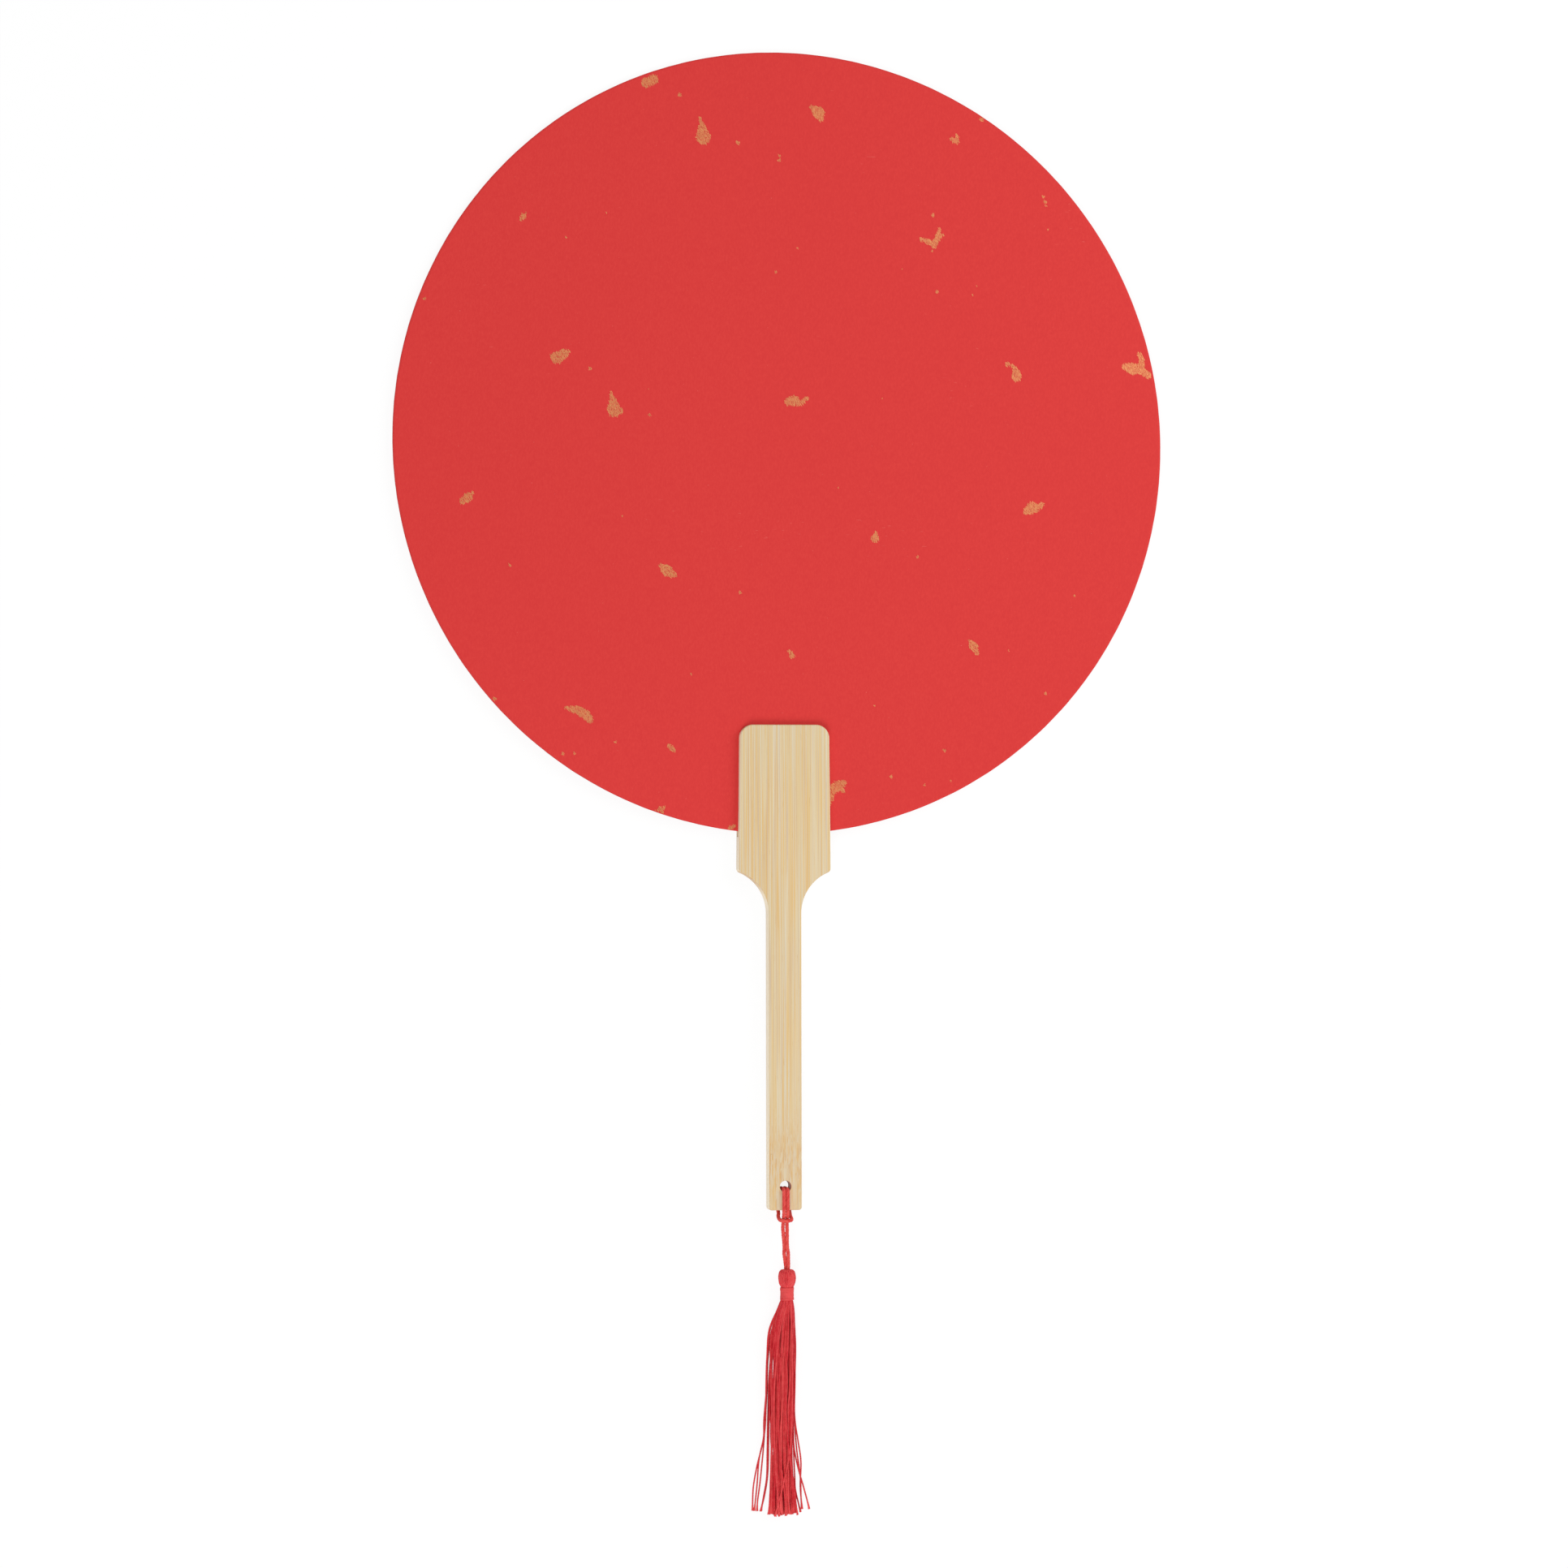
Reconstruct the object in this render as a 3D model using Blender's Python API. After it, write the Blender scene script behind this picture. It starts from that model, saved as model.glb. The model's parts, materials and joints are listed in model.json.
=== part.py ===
"""Round paddle fan: a paper-faced disc in a slotted bamboo handle, with a red tassel.

Units are metres. X runs across the fan, +Y from the handle to the disc, and +Z up from
the table that the fan lies on. The far rim of the disc and the top edge of the handle's
head rest on the table, so the tail is a little above it and the cord fits underneath.
"""
import math
import random

import bmesh
import bpy
from mathutils import Vector
from mathutils.geometry import interpolate_bezier

MM = 0.001

# Disc
DISC_DIAMETER = 250 * MM
BOARD_THICKNESS = 1.0 * MM
PAPER_THICKNESS = 0.15 * MM
LEAF_THICKNESS = 0.02 * MM
GLUE_LINE = 0.03 * MM
DISC_IN_HANDLE = 34.9 * MM
DISC_SIDES = 96

# Handle
HANDLE_LENGTH = 154.9 * MM
HANDLE_THICKNESS = 5.2 * MM
HEAD_TOP_WIDTH = 29.1 * MM
HEAD_BOTTOM_WIDTH = 29.9 * MM
HEAD_CORNER_RADIUS = 4.3 * MM
SHOULDER_RADIUS = 1.4 * MM
FLARE_RADIUS = 14.1 * MM
STICK_WIDTH = 10.7 * MM
STICK_LENGTH = 94.6 * MM
TAIL_CORNER_RADIUS = 1.0 * MM
EDGE_ROUNDING = 0.4 * MM
SLOT_PLAY = 0.06 * MM
SLOT_END_GAP = 0.9 * MM
HOLE_DIAMETER = 3.7 * MM
HOLE_FROM_TAIL = 7.6 * MM
HOLE_SIDES = 24

# Cord
CORD_DIAMETER = 1.1 * MM
CORD_CLEARANCE = 0.1 * MM
BIGHT_REACH = 3.35 * MM
BIGHT_LEFT_LEG = 1.4 * MM
BIGHT_LEFT_BULGE = 1.95 * MM
BIGHT_RIGHT_LEG = 2.3 * MM
BIGHT_RIGHT_BULGE = 2.1 * MM
JOINT_GAP = 0.3 * MM
FREE_CORD_LENGTH = 12.8 * MM
CORD_DRIFT = 1.2 * MM
STRAND_DROP_AT_BIGHT = 1.2 * MM
STRAND_DROP_AT_KNOT = 1.9 * MM
STRAND_SAG = 0.35 * MM

# Tassel
BALL_DIAMETER = 5.6 * MM
BALL_LENGTH = 5.5 * MM
BALL_SQUARENESS = 2.5
BALL_LIP = 0.2 * MM
BALL_STEPS = 14
CAVITY_STEPS = 6
STOPPER_SWELL = 0.3 * MM
WRAP_DIAMETER = 4.5 * MM
WRAP_WALL = 0.45 * MM
WRAP_LENGTH = 4.3 * MM
DOME_SHOULDER = 0.3 * MM
SKIRT_LENGTH = 69.0 * MM
SKIRT_WIDTH = 9.0 * MM
SKIRT_END_WIDTH = 10.0 * MM
SKIRT_OPENING = 20.0 * MM
SKIRT_DRIFT = -1.3 * MM
THREAD_WIDTH = 0.5 * MM
THREAD_RAGGED = 2.2 * MM
THREADS_ACROSS = 9
THREAD_CIRCLE = 4.2
THREAD_STEPS = 9
DOME_RIM = 0.15 * MM
THREAD_SLIT_SHARE = 0.1

# Stray threads: side of the skirt and row, and how far each strays outwards at its end
LOOSE_ENDS = {
    (-1, -1): 2.6 * MM,
    (-1, 0): 3.1 * MM,
    (-1, 1): 4.9 * MM,
    (1, -1): 1.2 * MM,
    (1, 0): 2.3 * MM,
    (1, 1): 3.9 * MM,
}
LOOSE_SAG = 1.8 * MM

# Gold leaf: place in disc radii from the centre, length and width in mm, turn in degrees.
# The last six lie in the band of the disc that no view shows.
FLAKES = [
    (-0.344, 0.915, 5.7, 4.5, 20),
    (-0.206, 0.790, 8.7, 5.7, 115),
    (0.093, 0.846, 5.6, 5.0, 0),
    (0.453, 0.791, 3.4, 2.6, 10),
    (0.394, 0.534, 7.6, 6.4, 35),
    (-0.670, 0.562, 3.0, 2.6, 90),
    (-0.575, 0.212, 6.4, 4.9, 160),
    (-0.436, 0.091, 8.7, 5.3, 110),
    (0.033, 0.110, 8.3, 4.2, 15),
    (0.607, 0.193, 6.4, 5.7, 70),
    (0.936, 0.215, 10.2, 8.3, 60),
    (-0.523, -0.694, 10.0, 5.8, 170),
    (-0.290, -0.781, 2.9, 2.7, 0),
    (-0.319, -0.938, 3.0, 2.8, 45),
    (0.141, -0.894, 8.6, 5.8, 100),
    (-0.812, -0.150, 5.2, 3.6, 40),
    (-0.300, -0.330, 6.8, 4.4, 145),
    (0.240, -0.240, 4.2, 3.0, 75),
    (0.660, -0.160, 7.4, 5.0, 20),
    (0.500, -0.520, 5.4, 4.0, 120),
    (0.020, -0.540, 3.2, 2.4, 60),
]
FLAKE_POINTS = 14
FLAKE_FILL = 0.92
FLAKE_WAVES = (0.06, 0.15)
FLAKE_MARGIN = 0.4 * MM
FLAKE_EDGE_SPREAD = 0.02

# Sizes that follow from the ones above
DISC_RADIUS = DISC_DIAMETER / 2
LAMINATE = BOARD_THICKNESS + 2 * (GLUE_LINE + PAPER_THICKNESS)
SLOT_THICKNESS = LAMINATE + 2 * (GLUE_LINE + LEAF_THICKNESS + SLOT_PLAY)
DISC_MIDDLE = HANDLE_THICKNESS / 2
RIM_HEIGHT = DISC_MIDDLE - LAMINATE / 2
RIM_REACH = DISC_DIAMETER - DISC_IN_HANDLE
DISC_CENTRE_Y = RIM_REACH - DISC_RADIUS
TILT = math.atan2(RIM_HEIGHT, RIM_REACH)
HOLE_Y = HOLE_FROM_TAIL - HANDLE_LENGTH
TAIL_Y = -HANDLE_LENGTH
CORD_RADIUS = CORD_DIAMETER / 2
STRAND_OFFSET = (CORD_DIAMETER + CORD_CLEARANCE) / 2
PAIR_HALF_WIDTH = STRAND_OFFSET + CORD_RADIUS
FRONT_CORD_Z = HANDLE_THICKNESS + CORD_CLEARANCE + CORD_RADIUS
BACK_CORD_Z = -CORD_CLEARANCE - CORD_RADIUS
KNOT_Y = TAIL_Y - BIGHT_REACH - CORD_RADIUS - PAIR_HALF_WIDTH - JOINT_GAP
WRAP_BORE_RADIUS = WRAP_DIAMETER / 2 - WRAP_WALL
CORE_RADIUS = WRAP_BORE_RADIUS - JOINT_GAP
DOME_RADIUS = WRAP_BORE_RADIUS + DOME_SHOULDER
DOME_SEAT = math.sqrt((DOME_RADIUS + JOINT_GAP) ** 2 - WRAP_BORE_RADIUS ** 2)
CORE_LENGTH = WRAP_LENGTH + DOME_SEAT - DOME_RADIUS - JOINT_GAP
BALL_TOP_GAP = CORD_RADIUS + JOINT_GAP
BALL_CENTRE_Z = -BALL_TOP_GAP - BALL_LENGTH / 2
NECK_TOP_Z = -BALL_TOP_GAP - BALL_LENGTH
BORE_RADIUS = PAIR_HALF_WIDTH + JOINT_GAP
STOPPER_RADIUS = PAIR_HALF_WIDTH + STOPPER_SWELL
CAVITY_RADIUS = STOPPER_RADIUS + JOINT_GAP
THREAD_REACH = THREADS_ACROSS // 2
THREAD_PITCH = DOME_RADIUS / math.hypot(THREAD_REACH + 0.5, 1.5)
THREAD_LENGTH = SKIRT_LENGTH - DOME_SEAT


def clear_scene():
    for item in list(bpy.data.objects):
        bpy.data.objects.remove(item, do_unlink=True)


def material(name, colour, roughness, metallic=0.0):
    made = bpy.data.materials.new(name)
    made.use_nodes = True
    shader = made.node_tree.nodes["Principled BSDF"]
    shader.inputs["Base Color"].default_value = (*colour, 1.0)
    shader.inputs["Roughness"].default_value = roughness
    shader.inputs["Metallic"].default_value = metallic
    made.diffuse_color = (*colour, 1.0)
    return made


def empty(name, location, rotation=(0.0, 0.0, 0.0), parent=None):
    made = bpy.data.objects.new(name, None)
    made.location = location
    made.rotation_euler = rotation
    made.parent = parent
    bpy.context.collection.objects.link(made)
    return made


def add_object(name, data, finish, parent, location=(0.0, 0.0, 0.0)):
    made = bpy.data.objects.new(name, data)
    made.location = location
    made.parent = parent
    data.materials.append(finish)
    bpy.context.collection.objects.link(made)
    return made


def mesh_from(name, shape, smooth_angle=None):
    bmesh.ops.recalc_face_normals(shape, faces=shape.faces)
    mesh = bpy.data.meshes.new(name)
    shape.to_mesh(mesh)
    shape.free()
    if smooth_angle is not None:
        mesh.shade_smooth()
        mesh.set_sharp_from_angle(angle=math.radians(smooth_angle))
    return mesh


def extruded_outline(name, outline, bottom, top):
    """A closed prism with the given XY outline between two heights."""
    shape = bmesh.new()
    base = shape.faces.new([shape.verts.new((x, y, bottom)) for x, y in outline])
    sides = bmesh.ops.extrude_face_region(shape, geom=[base])
    raised = [item for item in sides["geom"] if isinstance(item, bmesh.types.BMVert)]
    bmesh.ops.translate(shape, verts=raised, vec=(0.0, 0.0, top - bottom))
    return mesh_from(name, shape)


def arc(centre_x, centre_y, radius, start, end, steps):
    """Points along an arc, its start and end given in degrees."""
    points = []
    for step in range(steps + 1):
        turn = math.radians(start + (end - start) * step / steps)
        points.append((centre_x + radius * math.cos(turn), centre_y + radius * math.sin(turn)))
    return points


def turned(name, profile, segments, ring=False):
    """Spin (radius, height) points about Z: a line with its ends on the axis, or a closed ring."""
    shape = bmesh.new()
    verts = [shape.verts.new((radius, 0.0, height)) for radius, height in profile]
    followers = verts[1:] + verts[:1] if ring else verts[1:]
    edges = [shape.edges.new(pair) for pair in zip(verts, followers)]
    bmesh.ops.spin(shape, geom=verts + edges, cent=(0, 0, 0), axis=(0, 0, 1),
                   angle=math.tau, steps=segments, use_merge=True)
    bmesh.ops.remove_doubles(shape, verts=shape.verts, dist=0.001 * MM)
    return mesh_from(name, shape, smooth_angle=50)


def smooth_route(points, count):
    """Evenly spaced points on one smooth curve through the given points."""
    points = [Vector(point) for point in points]
    fine = []
    for index in range(len(points) - 1):
        before = points[max(index - 1, 0)]
        start = points[index]
        end = points[index + 1]
        after = points[min(index + 2, len(points) - 1)]
        first_handle = start + (end - before) / 6
        second_handle = end - (after - start) / 6
        fine += interpolate_bezier(start, first_handle, second_handle, end, 40)[:-1]
    fine.append(points[-1])
    travelled = [0.0]
    for start, end in zip(fine, fine[1:]):
        travelled.append(travelled[-1] + (end - start).length)
    even = []
    index = 0
    for step in range(count):
        target = travelled[-1] * step / (count - 1)
        while index < len(fine) - 2 and travelled[index + 1] < target:
            index += 1
        share = (target - travelled[index]) / (travelled[index + 1] - travelled[index])
        even.append(fine[index].lerp(fine[index + 1], share))
    return even


def rounded_tip(end, inner):
    """Two smaller rings past a tube's last point that close it as a round tip."""
    outward = (end - inner).normalized()
    tips = []
    for degrees in (35, 70):
        turn = math.radians(degrees)
        tips.append((end + outward * CORD_RADIUS * math.sin(turn), math.cos(turn)))
    return tips


def cord_tube(name, route, finish, parent):
    """A cord of even thickness along the route, with round tips."""
    rings = [(point, 1.0) for point in route]
    first_tip = rounded_tip(route[0], route[1])
    last_tip = rounded_tip(route[-1], route[-2])
    rings = first_tip[::-1] + rings + last_tip
    curve = bpy.data.curves.new(name, "CURVE")
    curve.dimensions = "3D"
    curve.bevel_depth = CORD_RADIUS
    curve.bevel_resolution = 2
    curve.render_resolution_u = 0
    curve.use_fill_caps = True
    spline = curve.splines.new("POLY")
    spline.points.add(len(rings) - 1)
    for point, (place, scale) in zip(spline.points, rings):
        point.co = (*place, 1.0)
        point.radius = scale
    return add_object(name, curve, finish, parent)


def fan_base():
    """The handle's own frame: its origin is the middle of the head's top edge, on the back."""
    far_end = RIM_REACH * math.cos(TILT) + (RIM_HEIGHT + LAMINATE) * math.sin(TILT)
    near_end = TAIL_Y * math.cos(TILT)
    return empty("fan_lie", (0.0, -(far_end + near_end) / 2, 0.0), (-TILT, 0.0, 0.0))


def disc_layer(name, thickness, middle, finish, base):
    shape = bmesh.new()
    bmesh.ops.create_cone(shape, cap_ends=True, segments=DISC_SIDES, radius1=DISC_RADIUS,
                          radius2=DISC_RADIUS, depth=thickness)
    return add_object(name, mesh_from(name, shape), finish, base, (0.0, DISC_CENTRE_Y, middle))


def build_disc(base, board_finish, paper_finish):
    paper_offset = BOARD_THICKNESS / 2 + GLUE_LINE + PAPER_THICKNESS / 2
    disc_layer("face_board", BOARD_THICKNESS, DISC_MIDDLE, board_finish, base)
    disc_layer("face_paper_front", PAPER_THICKNESS, DISC_MIDDLE + paper_offset, paper_finish, base)
    disc_layer("face_paper_back", PAPER_THICKNESS, DISC_MIDDLE - paper_offset, paper_finish, base)


def flake_outline(length, width, seed):
    """A ragged closed outline round the origin, longest along X."""
    chance = random.Random(seed)
    waves = [(lobes, chance.uniform(*FLAKE_WAVES), chance.uniform(0, math.tau)) for lobes in (2, 3, 5)]
    outline = []
    for step in range(FLAKE_POINTS):
        turn = math.tau * step / FLAKE_POINTS
        reach = FLAKE_FILL + sum(size * math.sin(lobes * turn + start) for lobes, size, start in waves)
        outline.append(Vector((reach * math.cos(turn) * length / 2, reach * math.sin(turn) * width / 2)))
    return outline


def build_flakes(base, finish):
    bottom = DISC_MIDDLE + LAMINATE / 2 + GLUE_LINE
    edge = DISC_RADIUS * math.cos(math.pi / DISC_SIDES) - FLAKE_MARGIN
    for number, (x_share, y_share, length, width, turn) in enumerate(FLAKES, start=1):
        centre = Vector((x_share, y_share)) * DISC_RADIUS
        outline = []
        for point in flake_outline(length * MM, width * MM, number):
            c, s = math.cos(math.radians(turn)), math.sin(math.radians(turn))
            place = centre + Vector((c * point.x - s * point.y, s * point.x + c * point.y))
            if place.length > edge:
                place = place.normalized() * (edge - (place.length - edge) * FLAKE_EDGE_SPREAD)
            outline.append((place.x, place.y + DISC_CENTRE_Y))
        name = f"gold_flake_{number:02d}"
        mesh = extruded_outline(name, outline, bottom, bottom + LEAF_THICKNESS)
        add_object(name, mesh, finish, base)


def handle_side():
    """The right half of the handle's outline, from the head's top edge to the tail."""
    flare_x = STICK_WIDTH / 2 + FLARE_RADIUS
    flare_y = TAIL_Y + STICK_LENGTH
    shoulder_x = HEAD_BOTTOM_WIDTH / 2 - SHOULDER_RADIUS
    across = flare_x - shoulder_x
    down = math.sqrt((FLARE_RADIUS + SHOULDER_RADIUS) ** 2 - across ** 2)
    shoulder_y = flare_y + down
    meeting = math.degrees(math.atan2(down, across))
    top_x = HEAD_TOP_WIDTH / 2 - HEAD_CORNER_RADIUS
    tail_x = STICK_WIDTH / 2 - TAIL_CORNER_RADIUS
    side = arc(top_x, -HEAD_CORNER_RADIUS, HEAD_CORNER_RADIUS, 90, 0, 6)
    side += arc(shoulder_x, shoulder_y, SHOULDER_RADIUS, 0, -meeting, 4)
    side += arc(flare_x, flare_y, FLARE_RADIUS, 180 - meeting, 180, 10)[1:]
    side += arc(tail_x, TAIL_Y + TAIL_CORNER_RADIUS, TAIL_CORNER_RADIUS, 0, -90, 3)
    return side


def cut(target, name, cutter_mesh, location):
    cutter = bpy.data.objects.new(name, cutter_mesh)
    cutter.location = location
    cutter.parent = target
    cutter.display_type = "WIRE"
    cutter.hide_render = True
    bpy.context.collection.objects.link(cutter)
    boolean = target.modifiers.new(name, "BOOLEAN")
    boolean.operation = "DIFFERENCE"
    boolean.object = cutter


def build_handle(base, finish):
    side = handle_side()
    outline = side + [(-x, y) for x, y in reversed(side)]
    mesh = extruded_outline("bamboo_handle", outline, 0.0, HANDLE_THICKNESS)
    handle = add_object("bamboo_handle", mesh, finish, base)
    rounding = handle.modifiers.new("edge_rounding", "BEVEL")
    rounding.width = EDGE_ROUNDING
    rounding.segments = 2
    rounding.limit_method = "ANGLE"
    rounding.angle_limit = math.radians(50)

    slot_depth = DISC_IN_HANDLE + SLOT_END_GAP
    slot_overrun = 2 * HEAD_CORNER_RADIUS
    half_width = HEAD_BOTTOM_WIDTH
    corners = [(-half_width, -slot_depth), (half_width, -slot_depth),
               (half_width, slot_overrun), (-half_width, slot_overrun)]
    slot = extruded_outline("slot_cutter", corners, -SLOT_THICKNESS / 2, SLOT_THICKNESS / 2)
    cut(handle, "slot_cutter", slot, (0.0, 0.0, DISC_MIDDLE))

    drill = bmesh.new()
    bmesh.ops.create_cone(drill, cap_ends=True, segments=HOLE_SIDES, radius1=HOLE_DIAMETER / 2,
                          radius2=HOLE_DIAMETER / 2, depth=2 * HANDLE_THICKNESS)
    cut(handle, "hole_cutter", mesh_from("hole_cutter", drill), (0.0, HOLE_Y, DISC_MIDDLE))


def half_hitch_route(side, leg, bulge):
    """One side of the cord: over the front, down the hole, along the back, up round the end."""
    inner = side * STRAND_OFFSET
    outer = side * leg
    widest = side * bulge
    bight_z = FRONT_CORD_Z - STRAND_DROP_AT_BIGHT + CORD_DIAMETER + CORD_CLEARANCE
    bight_y = TAIL_Y - BIGHT_REACH
    fixed_end = KNOT_Y + math.sqrt((PAIR_HALF_WIDTH + JOINT_GAP + CORD_RADIUS) ** 2 - STRAND_OFFSET ** 2)
    return [
        (inner, fixed_end, FRONT_CORD_Z - 1.15 * STRAND_DROP_AT_BIGHT),
        (inner, TAIL_Y - 1.6 * MM, FRONT_CORD_Z - 0.42 * STRAND_DROP_AT_BIGHT),
        (inner, TAIL_Y + 0.2 * MM, FRONT_CORD_Z),
        (inner, TAIL_Y + 2.4 * MM, FRONT_CORD_Z),
        (inner, HOLE_Y - 2.6 * MM, FRONT_CORD_Z),
        (inner, HOLE_Y - 1.6 * MM, FRONT_CORD_Z),
        (inner, HOLE_Y - 1.08 * MM, HANDLE_THICKNESS + 0.35 * MM),
        (inner, HOLE_Y - 0.88 * MM, HANDLE_THICKNESS - 0.5 * MM),
        (inner, HOLE_Y - 0.85 * MM, HANDLE_THICKNESS / 2),
        (inner, HOLE_Y - 0.88 * MM, 0.5 * MM),
        (inner, HOLE_Y - 1.08 * MM, -0.35 * MM),
        (inner, HOLE_Y - 1.6 * MM, BACK_CORD_Z),
        (inner * 1.2, HOLE_Y - 2.6 * MM, BACK_CORD_Z),
        (outer * 0.8, TAIL_Y + 2.2 * MM, BACK_CORD_Z),
        (outer, TAIL_Y + 0.1 * MM, BACK_CORD_Z),
        (outer, TAIL_Y - 1.3 * MM, 0.6 * MM),
        (widest * 0.97, TAIL_Y - 2.0 * MM, HANDLE_THICKNESS / 2),
        (widest, TAIL_Y - 2.75 * MM, bight_z - 1.5 * MM),
        (widest * 0.8, bight_y + 0.2 * MM, bight_z - 0.2 * MM),
        (side * 0.35 * MM, bight_y, bight_z),
    ]


def build_cord(base, finish, knot):
    left = half_hitch_route(-1, BIGHT_LEFT_LEG, BIGHT_LEFT_BULGE)
    right = half_hitch_route(1, BIGHT_RIGHT_LEG, BIGHT_RIGHT_BULGE)
    cord_tube("cord_hitch", smooth_route(left + right[::-1], 82), finish, base)
    for name, side in (("cord_strand_left", -1), ("cord_strand_right", 1)):
        start = Vector((side * STRAND_OFFSET, 0.0, 0.0))
        end = tassel_joint_place() + start
        bend = start.lerp(end, 0.35) - Vector((0.0, 0.0, STRAND_SAG))
        late = start.lerp(end, 0.8) - Vector((0.0, 0.0, STRAND_SAG * 0.6))
        cord_tube(name, smooth_route([start, bend, late, end], 7), finish, knot)


def knot_height():
    """Height above the table of the strands where they leave the hitch."""
    local_z = FRONT_CORD_Z - STRAND_DROP_AT_KNOT
    return local_z * math.cos(TILT) - KNOT_Y * math.sin(TILT)


def tassel_joint_place():
    """Where the cord meets the tassel's head, measured from the knot."""
    return Vector((CORD_DRIFT, -FREE_CORD_LENGTH, BALL_DIAMETER / 2 - knot_height()))


def ball_profile():
    """The cavity for the stopper knot, the cord's bore, the outer skin and the neck's core."""
    bore_turn = math.degrees(math.acos(BORE_RADIUS / CAVITY_RADIUS))
    profile = arc(0.0, BALL_CENTRE_Z, CAVITY_RADIUS, -90, bore_turn, CAVITY_STEPS)
    power = 2 / BALL_SQUARENESS
    for step in range(1, BALL_STEPS):
        turn = math.pi * (0.5 - step / BALL_STEPS)
        radius = BALL_DIAMETER / 2 * math.cos(turn) ** power
        height = math.copysign(abs(math.sin(turn)) ** power, turn) * BALL_LENGTH / 2
        narrowest = BORE_RADIUS if height > 0 else CORE_RADIUS
        if radius > narrowest + BALL_LIP:
            profile.append((radius, BALL_CENTRE_Z + height))
    core_end = NECK_TOP_Z - JOINT_GAP - CORE_LENGTH
    return profile + [(CORE_RADIUS, NECK_TOP_Z), (CORE_RADIUS, core_end), (0.0, core_end)]


def stopper_profile():
    """A round knot with the doubled cord standing up out of it as far as the ball's mouth."""
    meeting = math.degrees(math.acos(PAIR_HALF_WIDTH / STOPPER_RADIUS))
    knot = arc(0.0, BALL_CENTRE_Z, STOPPER_RADIUS, -90, meeting, CAVITY_STEPS)
    return knot + [(PAIR_HALF_WIDTH, -BALL_TOP_GAP), (0.0, -BALL_TOP_GAP)]


def wrap_profile():
    """The neck binding's wall, walked round as a closed loop of (radius, height)."""
    top = NECK_TOP_Z - JOINT_GAP
    bottom = top - WRAP_LENGTH
    outer = WRAP_DIAMETER / 2
    soft = WRAP_WALL / 3
    return [(WRAP_BORE_RADIUS, top), (outer - soft, top), (outer, top - soft),
            (outer, bottom + soft), (outer - soft, bottom), (WRAP_BORE_RADIUS, bottom)]


def build_tassel_head(joint, thread_finish, cord_finish):
    add_object("tassel_head", turned("tassel_head", ball_profile(), 20), thread_finish, joint)
    add_object("stopper_knot", turned("stopper_knot", stopper_profile(), 12), cord_finish, joint)
    wrap = turned("neck_wrap", wrap_profile(), 24, ring=True)
    add_object("neck_wrap", wrap, thread_finish, joint)


def thread_cells():
    """Column and row of each thread in the bundle, counted from its middle."""
    span = range(-THREAD_REACH, THREAD_REACH + 1)
    return [(column, row) for column in span for row in span
            if math.hypot(column, row) <= THREAD_CIRCLE]


def ease(share):
    share = min(max(share, 0.0), 1.0)
    return share * share * (3 - 2 * share)


def thread_place(column, row, depth):
    """Centre of a thread at a depth below the skirt's joint; +Y is towards the table."""
    along = depth / THREAD_LENGTH
    opened = ease(depth / SKIRT_OPENING)
    width = SKIRT_WIDTH + (SKIRT_END_WIDTH - SKIRT_WIDTH) * along ** 2
    open_x = (width - THREAD_WIDTH) / 2 / THREAD_REACH
    open_y = (BALL_DIAMETER - THREAD_WIDTH) / 2 / THREAD_REACH
    stagger = 0.25 if row % 2 else -0.25
    x = column * THREAD_PITCH + (column * (open_x - THREAD_PITCH) + stagger * open_x) * opened
    y = row * (THREAD_PITCH + (open_y - THREAD_PITCH) * opened)
    x += SKIRT_DRIFT * opened
    side = column // THREAD_REACH if abs(column) == THREAD_REACH else 0
    if (side, row) in LOOSE_ENDS:
        x += side * LOOSE_ENDS[side, row] * ease(along)
        y += LOOSE_SAG * ease(along * 1.3)
    return x, y


def bundle_slice(shape):
    """A slice of the thread bundle under a round top; gives each thread's face below it."""
    cells = thread_cells()
    corners = {}

    def corner(i, j, top):
        if (i, j, top) not in corners:
            x = (i - 0.5) * THREAD_PITCH
            y = (j - 0.5) * THREAD_PITCH
            rise = math.sqrt(max(DOME_RADIUS ** 2 - x * x - y * y, DOME_RIM ** 2))
            corners[i, j, top] = shape.verts.new((x, y, rise if top else 0.0))
        return corners[i, j, top]

    def square(column, row, top):
        ring = [(column, row), (column + 1, row), (column + 1, row + 1), (column, row + 1)]
        return [corner(i, j, top) for i, j in ring]

    roots = {}
    for column, row in cells:
        shape.faces.new(square(column, row, True))
        roots[column, row] = shape.faces.new(square(column, row, False)[::-1])
    for column, row in cells:
        upper = square(column, row, True)
        lower = square(column, row, False)
        for side, (step_x, step_y) in enumerate(((0, -1), (1, 0), (0, 1), (-1, 0))):
            if (column + step_x, row + step_y) not in roots:
                after = (side + 1) % 4
                shape.faces.new([upper[after], upper[side], lower[side], lower[after]])
    bmesh.ops.recalc_face_normals(shape, faces=shape.faces)
    return roots


def draw_thread(shape, face, column, row, root_width, length):
    """Draw a square thread out of its face, in steps that are shorter near the neck."""
    middle = face.calc_center_median()
    for step in range(1, THREAD_STEPS + 1):
        depth = length * (step / THREAD_STEPS) ** 1.25
        width = root_width + (THREAD_WIDTH - root_width) * ease(depth / SKIRT_OPENING)
        x, y = thread_place(column, row, depth)
        sides = [(math.copysign(1, vert.co.x - middle.x), math.copysign(1, vert.co.y - middle.y))
                 for vert in face.verts]
        face = bmesh.ops.extrude_discrete_faces(shape, faces=[face])["faces"][0]
        for vert, (side_x, side_y) in zip(face.verts, sides):
            vert.co = (x + side_x * width / 2, y + side_y * width / 2, -depth)
        middle = Vector((x, y, -depth))


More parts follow.
